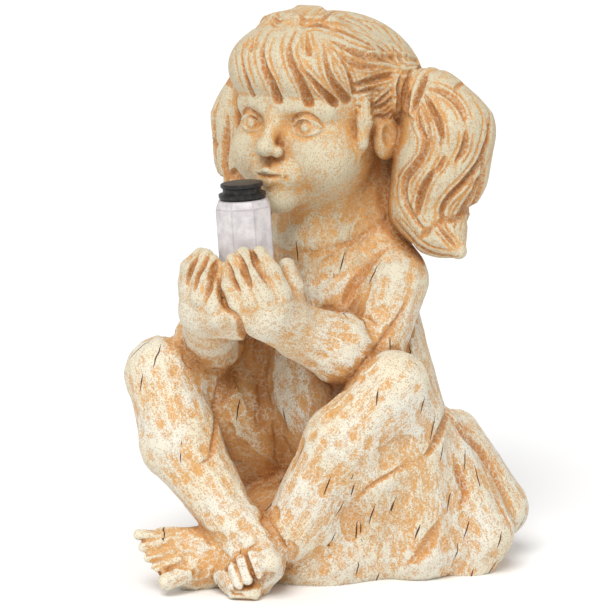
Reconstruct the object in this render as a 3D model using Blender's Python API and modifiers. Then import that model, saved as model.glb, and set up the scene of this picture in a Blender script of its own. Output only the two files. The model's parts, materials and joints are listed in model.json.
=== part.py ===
"""Child garden statue: a seated girl cast in one piece, cupping a small eight-sided jar."""

import math

import bmesh
import bpy
import numpy as np
from mathutils import Matrix, Vector
from mathutils.bvhtree import BVHTree

for old in list(bpy.data.objects):
    bpy.data.objects.remove(old, do_unlink=True)

# Driving dimensions, in millimetres unless the name says otherwise
MM = 0.001
CLAY_VOXEL = 1.5
FIGURE_TRIANGLES = 8700
PIECE_GAP = 0.3

# Reckoning of the clay: block size, how far seams soften, start value, largest step
CELL = 18.0
REACH = 16.0
FAR = 60.0
STEP = 2.5
TINY = 1e-9

# Body frames: where the torso and the head stand and how far they turn
TORSO_AT = (10.0, 15.0, 0.0)
TORSO_TURN = -10.0
HEAD_AT = (6.0, 6.0, 243.0)
HEAD_TURN = -4.0
HEAD_LIFT = -5.0

# Jar and stopper
JAR_AT = (-1.0, -57.0, 157.0)
JAR_LEAN = 3.7
JAR_LEAN_TOWARD = 210.0
JAR_TURN = 30.0
JAR_FLATS = 28.0
JAR_HEIGHT = 49.0
JAR_SHOULDER = 4.0
JAR_WALL = 2.2
JAR_MOUTH = 19.0
STOPPER_PLUG = JAR_MOUTH - 2 * PIECE_GAP
STOPPER_FLANGE = 24.5
STOPPER_CAP = 22.0

TORSO = Matrix.Translation(TORSO_AT) @ Matrix.Rotation(math.radians(TORSO_TURN), 4, "Z")
HEAD = (
    Matrix.Translation(HEAD_AT)
    @ Matrix.Rotation(math.radians(HEAD_TURN), 4, "Z")
    @ Matrix.Rotation(math.radians(HEAD_LIFT), 4, "X")
)
WORLD = Matrix.Identity(4)
SIDES = (1, -1)


# Clay: smooth unions of simple forms, in millimetres
def ball(at, radii, blend=6.0, frame=WORLD, turn=(0, 0, 0), cut=False):
    """An ellipsoid given by centre and three radii."""
    if not isinstance(radii, tuple):
        radii = (radii, radii, radii)
    spin = Matrix.Rotation(math.radians(turn[2]), 4, "Z")
    spin = spin @ Matrix.Rotation(math.radians(turn[1]), 4, "Y")
    spin = spin @ Matrix.Rotation(math.radians(turn[0]), 4, "X")
    place = frame @ Matrix.Translation(at) @ spin
    form = {"kind": "ball", "place": place, "size": radii, "blend": blend, "cut": cut}
    form["inverse"] = np.array(place.inverted())
    form["centre"], form["reach"] = place.translation, max(radii)
    return form


def limb(start, start_radius, end, end_radius, blend=6.0, frame=WORLD, cut=False):
    """A rounded bar that tapers from one radius to the other."""
    ends = (frame @ Vector(start), frame @ Vector(end))
    radii = (start_radius, end_radius)
    form = {"kind": "limb", "ends": ends, "size": radii, "blend": blend, "cut": cut}
    form["base"], form["axis"] = np.array(ends[0]), np.array(ends[1] - ends[0])
    form["centre"] = (ends[0] + ends[1]) / 2
    form["reach"] = (ends[1] - ends[0]).length / 2 + max(radii)
    return form


def chain(points, radii, blend=6.0, frame=WORLD, inner=None):
    """Limbs laid end to end through a few points."""
    forms = []
    for i in range(len(points) - 1):
        soft = blend if i == 0 or inner is None else inner
        forms.append(limb(points[i], radii[i], points[i + 1], radii[i + 1], soft, frame))
    return forms


def block(at, half, rounding, blend=2.0, frame=WORLD, turn=(0, 0, 0), cut=False):
    """A box with rounded edges."""
    form = ball(at, half, blend, frame, turn, cut)
    form["kind"] = "block"
    form["rounding"] = rounding
    form["reach"] = Vector(half).length
    return form


def form_distance(form, points):
    """Distance from each point to the skin of the form, minus inside."""
    if form["kind"] == "limb":
        axis = form["axis"]
        start_radius, end_radius = form["size"]
        gap = points - form["base"]
        along = np.minimum(np.maximum(gap @ axis / max(axis @ axis, TINY), 0.0), 1.0)
        gap = gap - along[:, None] * axis
        away = np.sqrt(np.einsum("ij,ij->i", gap, gap))
        return away - (start_radius + (end_radius - start_radius) * along)
    inverse = form["inverse"]
    local = points @ inverse[:3, :3].T + inverse[:3, 3]
    if form["kind"] == "block":
        q = np.abs(local) - (np.array(form["size"]) - form["rounding"])
        outer = np.sqrt((np.maximum(q, 0.0) ** 2).sum(1))
        return outer + np.minimum(q.max(1), 0.0) - form["rounding"]
    scaled = local / form["size"]
    near = np.sqrt(np.einsum("ij,ij->i", scaled, scaled))
    scaled /= form["size"]
    steep = np.sqrt(np.einsum("ij,ij->i", scaled, scaled))
    return near * (near - 1.0) / np.maximum(steep, TINY)


def soft_min(a, b, blend):
    mix = np.minimum(np.maximum(0.5 + 0.5 * (b - a) / blend, 0.0), 1.0)
    return b + (a - b) * mix - blend * mix * (1.0 - mix)


def group_distance(forms, points):
    total = np.full(len(points), FAR)
    for form in forms:
        distance = form_distance(form, points)
        if form["cut"]:
            total = -soft_min(-total, distance, form["blend"])
        else:
            total = soft_min(total, distance, form["blend"])
    return total


def clay_cells(groups, points):
    """Cuts the points into cubes, each with only the forms that reach it."""
    steps = np.floor(points / CELL).astype(np.int64)
    keys = steps @ np.array((1, 1000, 1000000))
    order = np.argsort(keys, kind="stable")
    cells = []
    for picked in np.split(order, np.flatnonzero(np.diff(keys[order])) + 1):
        low, high = points[picked].min(0), points[picked].max(0)
        middle = Vector((low + high) / 2)
        room = Vector((high - low) / 2).length + REACH
        near = []
        for blend, forms in groups:
            kept = []
            for form in forms:
                if (form["centre"] - middle).length < form["reach"] + room:
                    kept.append(form)
            if any(not form["cut"] for form in kept):
                near.append((blend, kept))
        cells.append((picked, near))
    return cells


def clay_distance(cells, points):
    total = np.full(len(points), FAR)
    for picked, groups in cells:
        spots = points[picked]
        level = total[picked]
        for blend, forms in groups:
            level = soft_min(level, group_distance(forms, spots), blend)
        total[picked] = level
    return total


# Blockout: solid primitives of every form, melted together by voxels
def unit_ball_mesh():
    bm = bmesh.new()
    bmesh.ops.create_uvsphere(bm, u_segments=24, v_segments=14, radius=1.0)
    mesh = bpy.data.meshes.new("unit_ball")
    bm.to_mesh(mesh)
    bm.free()
    return mesh


UNIT_BALL = unit_ball_mesh()


def add_ball_mesh(bm, place, radii):
    copy = UNIT_BALL.copy()
    copy.transform(place @ Matrix.Diagonal((*radii, 1.0)))
    bm.from_mesh(copy)
    bpy.data.meshes.remove(copy)


def add_form_mesh(bm, form):
    if form["kind"] == "ball":
        add_ball_mesh(bm, form["place"], form["size"])
    elif form["kind"] == "block":
        scale = Matrix.Diagonal((*[s * 2 for s in form["size"]], 1.0))
        bmesh.ops.create_cube(bm, size=1.0, matrix=form["place"] @ scale)
    else:
        hull = bmesh.new()
        for end, radius in zip(form["ends"], form["size"]):
            add_ball_mesh(hull, Matrix.Translation(end), (radius,) * 3)
        done = bmesh.ops.convex_hull(hull, input=hull.verts)
        loose = [v for v in done["geom_interior"] if isinstance(v, bmesh.types.BMVert)]
        bmesh.ops.delete(hull, geom=loose, context="VERTS")
        shell = bpy.data.meshes.new("hull")
        hull.to_mesh(shell)
        hull.free()
        bm.from_mesh(shell)
        bpy.data.meshes.remove(shell)


def object_from_bmesh(name, bm, scale=MM):
    bm.transform(Matrix.Scale(scale, 4))
    mesh = bpy.data.meshes.new(name)
    bm.to_mesh(mesh)
    bm.free()
    made = bpy.data.objects.new(name, mesh)
    bpy.context.scene.collection.objects.link(made)
    return made


def apply_modifiers(made):
    """Replaces the mesh by its modified form."""
    graph = bpy.context.evaluated_depsgraph_get()
    fresh = bpy.data.meshes.new_from_object(made.evaluated_get(graph))
    made.modifiers.clear()
    old = made.data
    made.data = fresh
    bpy.data.meshes.remove(old)


def remesh(made, voxel):
    step = made.modifiers.new("Melt", "REMESH")
    step.mode = "VOXEL"
    step.voxel_size = voxel * MM
    step.adaptivity = 0.0
    apply_modifiers(made)


def mesh_points(made):
    flat = np.empty(len(made.data.vertices) * 3)
    made.data.vertices.foreach_get("co", flat)
    return flat.reshape(-1, 3) / MM


def mesh_normals(made):
    flat = np.empty(len(made.data.vertices) * 3)
    made.data.vertices.foreach_get("normal", flat)
    return flat.reshape(-1, 3)


def set_points(made, points):
    made.data.vertices.foreach_set("co", (points * MM).ravel())
    made.data.update()


def mesh_edges(made):
    flat = np.empty(len(made.data.edges) * 2, dtype=np.int64)
    made.data.edges.foreach_get("vertices", flat)
    return flat.reshape(-1, 2)


def neighbour_mean(points, edges):
    count = np.bincount(edges.ravel(), minlength=len(points)).astype(float)
    mean = np.empty_like(points)
    for axis in range(3):
        column = points[:, axis]
        total = np.bincount(edges[:, 0], column[edges[:, 1]], len(points))
        total += np.bincount(edges[:, 1], column[edges[:, 0]], len(points))
        mean[:, axis] = total / np.maximum(count, 1.0)
    return mean


def settle(made, groups, rounds):
    """Moves each vertex to the skin of the clay and evens the spacing."""
    edges = mesh_edges(made)
    cells = clay_cells(groups, mesh_points(made))
    for turn in range(rounds):
        points = mesh_points(made)
        normals = mesh_normals(made)
        move = np.clip(clay_distance(cells, points), -STEP, STEP)
        points = points - normals * move[:, None]
        if turn < rounds - 1:
            drift = neighbour_mean(points, edges) - points
            drift -= normals * (drift * normals).sum(1)[:, None]
            points = points + drift * 0.5
        set_points(made, points)


def clay_object(name, groups, voxel):
    bm = bmesh.new()
    for _, forms in groups:
        for form in forms:
            if not form["cut"]:
                add_form_mesh(bm, form)
    made = object_from_bmesh(name, bm)
    remesh(made, 2 * voxel)
    settle(made, groups, 4)
    remesh(made, voxel)
    settle(made, groups, 4)
    return made


# Chisel: strokes that cut into or raise the skin along a path
def smooth_path(points, spacing=1.0):
    """Catmull-Rom curve through the points, in even steps."""
    points = [Vector(p) for p in points]
    if len(points) < 2:
        return points
    ring = [points[0] * 2 - points[1]] + points + [points[-1] * 2 - points[-2]]
    path = []
    for i in range(1, len(ring) - 2):
        a, b, c, d = ring[i - 1 : i + 3]
        steps = max(2, int((c - b).length / spacing))
        for k in range(steps):
            t = k / steps
            curve = 2 * b + (c - a) * t + (2 * a - 5 * b + 4 * c - d) * t * t
            path.append((curve + (3 * b - a - 3 * c + d) * t**3) * 0.5)
    path.append(points[-1])
    return path


def spindle(t, power=0.6):
    """Full in the middle, tapered to both ends."""
    return max(0.0, math.sin(math.pi * min(max(t, 0.0), 1.0))) ** power


def even(t):
    return min(1.0, 8.0 * t + 0.3, 8.0 * (1.0 - t) + 0.3)


class Chisel:
    """Collects strokes over one mesh and then moves its skin once."""

    def __init__(self, made):
        self.made = made
        self.points = mesh_points(made)
        self.normals = mesh_normals(made)
        made.data.calc_loop_triangles()
        corners = [Vector(p) for p in self.points]
        faces = [tuple(t.vertices) for t in made.data.loop_triangles]
        self.tree = BVHTree.FromPolygons(corners, faces)
        self.cut = np.zeros(len(self.points))
        self.lift = np.zeros(len(self.points))

    def snap(self, path):
        hits = [self.tree.find_nearest(p) for p in path]
        return [hit[0] for hit in hits], [hit[1] for hit in hits]

    def toward(self, origin, direction, reach=120.0):
        """The outer skin point seen from far out along a direction."""
        direction = Vector(direction).normalized()
        start = Vector(origin) + direction * reach
        hit = self.tree.ray_cast(start, -direction)
        return hit[0] if hit[0] is not None else Vector(origin) + direction * 40.0

    def stroke(self, points, width, depth, taper=spindle, sharp=1.0, lean=0.0, spacing=1.0):
        """Depth above zero cuts, below zero raises; lean softens one side."""
        path, facing = self.snap(smooth_path(points, spacing))
        centres = np.array([tuple(p) for p in path])
        outward = np.array([tuple(n) for n in facing])
        low = centres.min(0) - width * (1 + abs(lean))
        high = centres.max(0) + width * (1 + abs(lean))
        inside = np.all((self.points > low) & (self.points < high), axis=1)
        picked = np.flatnonzero(inside)
        if not len(picked):
            return
        gap = self.points[picked][:, None, :] - centres[None, :, :]
        nearest = (gap * gap).sum(2).argmin(1)
        rows = np.arange(len(picked))
        offset = gap[rows, nearest]
        along = np.gradient(centres, axis=0)
        along /= np.maximum(np.linalg.norm(along, axis=1), 1e-9)[:, None]
        side = np.cross(along, outward)[nearest]
        offset = offset - along[nearest] * (offset * along[nearest]).sum(1)[:, None] * 0.6
        away = np.linalg.norm(offset, axis=1)
        swell = np.array([taper(t) for t in np.linspace(0, 1, len(path))])[nearest]
        leaning = 1.0 + lean * np.sign((offset * side).sum(1))
        ratio = away / np.maximum(width * np.maximum(swell, 0.25) * leaning, 1e-6)
        level = np.clip(1.0 - ratio, 0.0, 1.0)
        level = level**sharp if sharp != 2.0 else level * level * (3.0 - 2.0 * level)
        level *= (self.normals[picked] * outward[nearest]).sum(1) > 0.15
        amount = abs(depth) * swell * level
        target = self.cut if depth > 0 else self.lift
        target[picked] = np.maximum(target[picked], amount)

    def finish(self):
        move = (self.lift - self.cut)[:, None]
        set_points(self.made, self.points + self.normals * move)


# Body forms
def torso_forms():
    """Chest, belly, hips and the straight back of the dress."""
    return [
        ball((0, 10, 46), (50, 44, 50), 8, TORSO),
        ball((0, -6, 96), (40, 36, 46), 14, TORSO),
        ball((0, 0, 138), (38, 31, 36), 10, TORSO),
        limb((9, 4, 142), 33, (13, 9, 78), 44, 8, TORSO),
        limb((0, 0, 158), 29, (2, 2, 196), 25, 8, TORSO),
        limb((-36, 2, 156), 17.5, (36, 2, 156), 18.5, 8, TORSO),
        limb((-38, -8, 112), 20, (-38, -12, 84), 27, 8),
        limb((4, 8, 182), 27, (8, 12, 206), 26, 10),
        limb((18, 4, 186), 14, (38, 2, 162), 15, 8, TORSO),
        limb((-18, 4, 186), 14, (-38, 2, 162), 15, 8, TORSO),
        limb((34, 18, 224), 10, (30, 20, 186), 17, 8),
    ]


ELBOWS = {1: (45, -10, 117), -1: (-50, -20, 114)}
WRISTS = {1: (23, -47, 137), -1: (-27, -52, 134)}


def arm_forms():
    forms = []
    for side in SIDES:
        shoulder = TORSO @ Vector((side * 40, 0, 155))
        elbow = Vector(ELBOWS[side])
        wrist = Vector(WRISTS[side])
        forms += [
            limb(shoulder, 17, elbow, 16, 4),
            limb(elbow, 17, elbow.lerp(wrist, 0.45), 18.5, 4),
            limb(elbow.lerp(wrist, 0.45), 18.5, wrist, 14.5, 3),
        ]
    return forms


KNEES = {1: (67, -25, 108), -1: (-56, -54, 107)}
HEM_SHARE = 0.58
ANKLES = {1: (20, -48, 31), -1: (-3, -69, 35)}


def leg_forms():
    """Thighs under the dress, then the crossed shins."""
    right_hip = TORSO @ Vector((-26, 6, 44))
    left_hip = TORSO @ Vector((30, 2, 50))
    forms = [
        limb(right_hip, 33, KNEES[-1], 19.5, 8),
        limb(left_hip, 34, KNEES[1], 18, 8),
        limb(KNEES[-1], 20, (-39, -64, 74), 21, 5),
        limb((-39, -64, 74), 21, ANKLES[-1], 13.5, 5),
        limb(KNEES[1], 18, (45, -39, 79), 20, 6),
        limb((45, -39, 79), 20, ANKLES[1], 17, 6),
    ]
    forms.append(limb(right_hip, 36, right_hip.lerp(Vector(KNEES[-1]), HEM_SHARE), 27, 4))
    return forms


def near_foot_forms():
    """Her right foot, crossed in front, with the toes stepped down its face."""
    ball_joint, outer_joint = (16.0, -69.5, 17.0), (-0.5, -77.5, 11.5)
    forms = [
        limb(ANKLES[-1], 13, (3, -69, 24), 12, 5),
        limb((1, -68, 34), 12.5, (13, -68, 24), 10.5, 5),
        limb((3, -69, 24), 12, ball_joint, 9.5, 5),
        limb((3, -69, 24), 11, outer_joint, 8.5, 5),
        limb(outer_joint, 8, ball_joint, 9.5, 4),
        limb((0.5, -76, 4), 6, (10.5, -71, 4), 7, 3),
        limb((10.5, -71, 4), 7, ball_joint, 9, 3),
        limb((5.5, -83, 4.5), 4.5, (14, -79, 4.5), 5, 3),
    ]
    roots = ((18, -73.5, 24.5), (15.2, -80.5, 25), (10, -83.6, 21.8), (5, -85.4, 17.8), (0.4, -86, 14))
    tips = ((24, -79, 21.5), (20.3, -82, 15.8), (14.6, -85.5, 12.6), (10.1, -87, 9.6), (5.4, -87.4, 7.4))
    sizes = (6.6, 3.1, 3.0, 2.8, 2.6)
    for root, tip, size in zip(roots, tips, sizes):
        forms.append(limb(root, size, tip, size * 0.96, 0.8))
    return forms


def far_foot_forms():
    """Her left foot, lying on its side behind the near ankle, toes fanned to the left."""
    core = (-16, -67, 17)
    forms = [
        limb(ANKLES[1], 15, (0, -62, 20), 15, 6),
        limb((0, -62, 20), 15, core, 15, 6),
        limb((-14, -68, 23), 10, (-37, -86, 28.5), 5, 5),
        limb(core, 14, (-31, -84, 22), 7, 5),
        limb(core, 15, (-24, -80.5, 13), 10.5, 5),
        limb((-20, -71.5, 6), 9, (-26, -79.5, 7), 7.5, 4),
    ]
    roots = ((-21, -88, 12), (-24.6, -89.5, 18.5), (-28.4, -89.6, 22.4), (-32, -89.6, 26.1), (-35.5, -88.8, 30))
    tips = ((-27, -97, 8.6), (-33, -98, 15), (-37.5, -98, 19.8), (-41, -97.6, 25), (-44.5, -97, 31))
    sizes = (4.8, 3.0, 2.9, 2.8, 2.8)
    for root, tip, size in zip(roots, tips, sizes):
        forms.append(limb(root, size + 0.6, tip, size, 0.8))
    return forms


def skirt_forms():
    """Cloth over the lap and the heavy folds that spread behind her left knee."""
    return [
        ball((0, -26, 16), (50, 42, 34), 6, TORSO),
        limb((70, 12, 76), 17, (92, 28, 22), 17, 8),
        limb((72, 32, 70), 16, (88, 56, 28), 17, 8),
        limb((92, 28, 22), 16, (84, 28, 4), 16, 6),
        limb((68, -12, 92), 19, (63, 8, 20), 26, 10),
        limb((52, -24, 62), 22, (40, 0, 12), 22, 9),
        limb((30, -36, 34), 16, (22, -10, 6), 17, 8),
        limb((60, 30, 30), 34, (20, 40, 30), 36, 12),
        limb((20, 46, 20), 30, (-22, 32, 18), 30, 10),
    ]


# Hands: every finger stands on a ring round the jar axis
def ring_point(angle, radius, height):
    """Angle from straight ahead, positive toward her left."""
    turn = math.radians(angle)
    ahead = TORSO.to_3x3() @ Vector((0, -1, 0))
    left = TORSO.to_3x3() @ Vector((1, 0, 0))
    spot = Vector(JAR_AT) + (ahead * math.cos(turn) + left * math.sin(turn)) * radius
    spot.z = height
    return spot


FINGER_TIPS = {
    1: ((7, 19.5, 173), (17, 19.5, 177), (33, 19.5, 180), (57, 19.5, 180.5)),
    -1: ((-8, 21, 173), (-16, 22.5, 175.5), (-26, 24, 177.5), (-42, 25, 177)),
}
FINGER_KNUCKLES = {
    1: ((31, 29, 156), (42, 30, 158), (55, 30.5, 160), (72, 30, 162)),
    -1: ((4, 29, 155), (-11, 31, 158), (-28, 32, 161), (-50, 31, 162)),
}
FINGER_SIZES = (3.9, 4.4, 4.7, 4.6)
THUMB_JOINTS = ((112, 22, 150), (112, 23.5, 161), (118, 20, 171.5))


def finger_joints(side, number):
    tip = FINGER_TIPS[side][number]
    knuckle = FINGER_KNUCKLES[side][number]
    middle = [tip[0] * 0.45 + knuckle[0] * 0.55, tip[1] * 0.35 + knuckle[1] * 0.65 + 1.5, 0]
    middle[2] = tip[2] * 0.55 + knuckle[2] * 0.45
    return [ring_point(*tip), ring_point(*middle), ring_point(*knuckle)]


def hand_forms():
    forms = []
    for side in SIDES:
        wrist = Vector(WRISTS[side])
        heel = ring_point(62 if side == 1 else -30, 25, 149)
        pads = [ring_point(a, r - 3.5, z - 5) for a, r, z in FINGER_KNUCKLES[side]]
        forms.append(limb(wrist, 13.5, heel, 12.5, 5))
        forms.append(limb(pads[0], 7.5, heel, 11, 4))
        forms.append(limb(pads[0], 6.5, pads[2], 7.5, 4))
        forms.append(limb(pads[2], 7.5, pads[3], 8, 4))
        forms.append(limb(pads[3], 8, wrist, 13, 4))
        for number in range(4):
            tip, middle, knuckle = finger_joints(side, number)
            size = FINGER_SIZES[number]
            forms.append(limb(knuckle, size + 1.4, middle, size + 0.4, 1.6))
            forms.append(limb(middle, size + 0.4, tip, size - 0.5, 1.2))
        thumb = [ring_point(side * turn, away, height) for turn, away, height in THUMB_JOINTS]
        forms += chain(thumb, (8.5, 5.6, 4.4), 3)
    forms.append(limb(ring_point(20, 16, 146), 11, ring_point(-20, 18, 146), 11, 4))
    return forms


# Head: a plain child's face laid out on its own centre lines, y forward is minus
EYE_AT = (16.5, -31.8, -5.0)
EYE_SIZE = 9.3


def face_forms():
    forms = [
        ball((0, 3, 8), (41.5, 47, 42), 6, HEAD),
        ball((0, -10, -18), (35, 33, 33), 9, HEAD),
        ball((0, -16, 12), (35, 31, 26), 7, HEAD),
    ]
    for side in SIDES:
        forms.append(ball((side * 20, -25, -20), (16.5, 15.5, 16), 8, HEAD))
        forms.append(limb((side * 8, -40.5, 4), 4, (side * 25, -33, 4.5), 4.5, 5, HEAD))
        forms.append(ball((side * 16.5, -46, -4.5), (10, 7, 6.5), 4, HEAD, cut=True))
    forms += [
        ball((0, -36, -42), (10, 9.5, 9), 7, HEAD),
        limb((0, -42, 0), 3.2, (0, -49.5, -14), 4.0, 5, HEAD),
        ball((0, -50.5, -16.5), (5.0, 4.6, 4.4), 2.5, HEAD),
        ball((0, -39.5, -30), (13, 8.5, 9.5), 5, HEAD),
    ]
    for side in SIDES:
        forms.append(ball((side * 5, -47, -18), (3.3, 3.8, 3.2), 1.6, HEAD))
        forms.append(limb((0, -48.6, -28.2), 2.0, (side * 7.5, -45.2, -30.2), 1.3, 1.5, HEAD))
        forms.append(limb((0, -47.4, -33.4), 2.6, (side * 6, -45.2, -32.8), 1.5, 1.5, HEAD))
        forms.append(ball((side * EYE_AT[0], EYE_AT[1], EYE_AT[2]), EYE_SIZE, 0.8, HEAD))
    return forms


def ear_forms():
    forms = []
    for side in SIDES:
        lean = (12, side * 8, side * -24)
        forms.append(ball((side * 42.5, -3, -9), (4.8, 8, 12), 2, HEAD, turn=lean))
        bowl = (12, 0, side * -24)
        forms.append(ball((side * 47.5, -6, -8), (3.6, 4.6, 7.5), 1.2, HEAD, turn=bowl, cut=True))
    return forms


def hair_cap_forms():
    """The hair mass, opened over the face and behind the ears."""
    forms = [
        ball((0, 11, 12), (49, 49, 43), 5, HEAD),
        ball((0, -14, 24), (44, 39, 27), 7, HEAD),
    ]
    for side in SIDES:
        forms.append(limb((side * 38, 8, 18), 15, (side * 52, 14, 14), 9.5, 6, HEAD))
    forms.append(limb((0, 18, -12), 31, (0, 14, -34), 22, 8, HEAD))
    forms.append(block((0, -48, -37), (37, 40, 45), 12, 1.5, HEAD, cut=True))
    for side in SIDES:
        forms.append(ball((side * 53, -6, -25), (19, 27, 29), 2.0, HEAD, cut=True))
    for side in SIDES:
        lock = [(38.5, -21, 12), (39.5, -19.5, 0), (38, -19, -12), (35, -18, -21)]
        lock = [(side * x, y, z) for x, y, z in lock]
        forms += chain(lock, (4, 4.2, 3.2, 1.4), 2.5, HEAD)
    return forms


FRINGE_LOCKS = 9


def fringe_line(number, shift=0.0):
    """Direction angles of one fringe lock, from the crown to its tip."""
    share = (number + shift) / (FRINGE_LOCKS - 1)
    spread = -66 + 130 * share
    sweep = 7 + 7 * share
    steps = ((0.30, 66, 0), (0.62, 50, -5), (0.90, 31, -3), (1.0, 11, sweep))
    return [(spread * wide + bend, rise) for wide, rise, bend in steps]


def head_direction(turn, rise):
    turn, rise = math.radians(turn), math.radians(rise)
    flat = Vector((math.sin(turn) * math.cos(rise), -math.cos(turn) * math.cos(rise), math.sin(rise)))
    return HEAD.to_3x3() @ flat


HAIR_CENTRE = HEAD @ Vector((0, 2, 10))


def fringe_forms():
    """Lens-shaped locks that hang over the brow."""
    forms = []
    for number in range(FRINGE_LOCKS):
        reach = (49, 48.5, 46.5, 46.5)
        spots = []
        for (turn, rise), away in zip(fringe_line(number), reach):
            wide = Vector((1.0, 0.93, 1.0))
            arrow = head_direction(turn, rise)
            spots.append(HAIR_CENTRE + Vector(a * b for a, b in zip(arrow, wide)) * away)
        forms += chain(spots, (2.0, 5.2, 5.6, 2.2), 2.0)
    return forms


PIGTAIL_SPREAD = {1: (48, 58, 65, 62, 57, 66, 80), -1: (44, 49, 52, 50, 45, 47, 55)}
PIGTAIL_BACK = {1: (14, 17, 20, 21, 20, 18, 15), -1: (11, 14, 17, 18, 18, 17, 17)}
PIGTAIL_HEIGHTS = (14, 11, -5, -26, -45, -57, -66)


def pigtail_path(side):
    """Centre line and thickness of one pigtail, root to tip."""
    points = zip(PIGTAIL_SPREAD[side], PIGTAIL_BACK[side], PIGTAIL_HEIGHTS)
    radii = (9, 14.5, 24, 23.5, 19, 12, 4)
    return [HEAD @ Vector((side * x, y, z)) for x, y, z in points], radii


def pigtail_forms():
    forms = []
    for side in SIDES:
        points, radii = pigtail_path(side)
        forms += chain(points, radii, 3, inner=9)
    return forms


def crown_forms():
    """Two small knots of hair on top of the head."""
    return [
        ball((-13, -19, 49), (6, 4.5, 4), 2, HEAD),
        ball((-1, -10, 53.5), (4.5, 3.5, 3.6), 2, HEAD),
    ]


def figure_clay():
    """Groups of forms, each with the softness of its seam to the ones before."""
    skin = torso_forms() + arm_forms()
    return [
        (0.1, skin),
        (4.0, leg_forms() + skirt_forms()),
        (4.0, far_foot_forms()),
        (2.5, near_foot_forms()),
        (2.0, hand_forms()),
        (5.0, face_forms() + ear_forms()),
        (1.0, hair_cap_forms() + fringe_forms() + crown_forms()),
        (1.5, pigtail_forms()),
    ]


# Carving strokes
def carve_fringe(chisel):
    for number in range(FRINGE_LOCKS + 1):
        line = fringe_line(number, -0.5)
        spots = [chisel.toward(HAIR_CENTRE, head_direction(t, r)) for t, r in line]
        chisel.stroke(spots, 4.2, 2.6, even, 1.2, lean=0.3)
        if number % 2:
            inner = [chisel.toward(HAIR_CENTRE, head_direction(t + 6, r - 4)) for t, r in line[:3]]
            chisel.stroke(inner, 2.6, 1.3)


def sweep_line(side, share, lift=0.0):
    """One groove of the side hair, drawn back to the tie."""
    start = (24 + 38 * share, 66 - 64 * share)
    bend = (58 + 14 * share, 50 - 48 * share + lift)
    end = (94, 16 - 14 * share)
    return [(side * turn, rise) for turn, rise in (start, bend, end)]


def carve_sweeps(chisel):
    rows = 9
    for side in SIDES:
        for row in range(rows):
            line = sweep_line(side, row / (rows - 1))
            spots = [chisel.toward(HAIR_CENTRE, head_direction(t, r)) for t, r in line]
            chisel.stroke(spots, 4.0, 2.4, spindle, 1.2, lean=0.3)


def carve_crown(chisel):
    for side in SIDES:
        for row in range(10):
            share = row / 9
            start = (side * (30 + 140 * share), 78 - 6 * share)
            bend = (side * (62 + 92 * share), 58 - 42 * share)
            end = (side * (98 + 32 * share), 26 - 50 * share)
            spots = [chisel.toward(HAIR_CENTRE, head_direction(*a)) for a in (start, bend, end)]
            chisel.stroke(spots, 3.8, 2.0, spindle, 1.2, lean=0.3)


def carve_pigtails(chisel):
    """Long S-shaped grooves that follow each pigtail down to its tip."""
    for side in SIDES:
        points, _ = pigtail_path(side)
        path = smooth_path(points, 3.0)
        for row in range(13):
            begin, stop = (0.16, 0.93) if row % 2 else (0.24, 0.8)
            spots = []
            for k in range(9):
                share = begin + (stop - begin) * k / 8
                index = min(int(share * (len(path) - 1)), len(path) - 2)
                axis = (path[index + 1] - path[index]).normalized()
                across = axis.cross(HEAD.to_3x3() @ Vector((0, 1, 0))).normalized()
                back = axis.cross(across)
                turn = math.radians(360 * row / 13 + 16 * math.sin(5.2 * share) * side)
                arrow = across * math.cos(turn) + back * math.sin(turn)
                spots.append(chisel.toward(path[index], arrow, 34.0))
            chisel.stroke(spots, 4.4, 2.9, spindle, 1.1, lean=0.35)


def carve_ties(chisel):
    """Raised bands round the root of each pigtail."""
    for side in SIDES:
        for band in range(3):
            along = 47.5 + 4.4 * band
            spots = []
            for k in range(13):
                turn = math.tau * k / 12
                arrow = HEAD.to_3x3() @ Vector((0.12 * side, math.cos(turn), math.sin(turn)))
                spots.append(chisel.toward(HEAD @ Vector((side * along, 14, 14)), arrow, 22.0))
            chisel.stroke(spots, 2.2, -1.7, even, 2.0)


def eye_arc(side, rise, wide=9.0, shift=0.0):
    spots = []
    for k in range(7):
        across = -1 + 2 * k / 6
        height = EYE_AT[2] + shift + rise * (1 - across * across)
        depth = EYE_AT[1] - 9.0 + 3.4 * across * across + 1.2 * across * side
        spots.append(HEAD @ Vector((side * EYE_AT[0] + wide * across, depth, height)))
    return spots


def carve_face(chisel):
    for side in SIDES:
        chisel.stroke(eye_arc(side, 4.6), 1.7, -1.0, even, 2.0)
        chisel.stroke(eye_arc(side, -3.9), 1.5, -0.7, even, 2.0)
        chisel.stroke(eye_arc(side, 7.2, 9.5, 1.0), 1.6, 0.7, spindle, 2.0)
        iris = []
        for k in range(13):
            turn = math.tau * k / 12
            at = (side * EYE_AT[0] + 3.9 * math.cos(turn), -42.0, EYE_AT[2] + 0.2 + 3.9 * math.sin(turn))
            iris.append(HEAD @ Vector(at))
        chisel.stroke(iris, 1.0, 0.5, even, 2.0)
        nostril = [(side * 2.6, -49.0, -20.8), (side * 3.6, -46.6, -21.0)]
        chisel.stroke([HEAD @ Vector(p) for p in nostril], 1.4, 1.2, even, 2.0)
        corner = [(side * 8.2, -45, -30.0), (side * 9.6, -43.5, -31.8)]
        chisel.stroke([HEAD @ Vector(p) for p in corner], 1.8, 1.1, even, 2.0)
    mouth = [(x, -48.5 + 0.05 * x * x, -31.0 + 0.012 * x * x) for x in (-8, -4, 0, 4, 8)]
    chisel.stroke([HEAD @ Vector(p) for p in mouth], 1.3, 1.3, even, 2.0)
    groove = [(0, -47.0, -21.5), (0, -48.0, -26.0)]
    chisel.stroke([HEAD @ Vector(p) for p in groove], 1.6, 0.6, even, 2.0)


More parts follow.
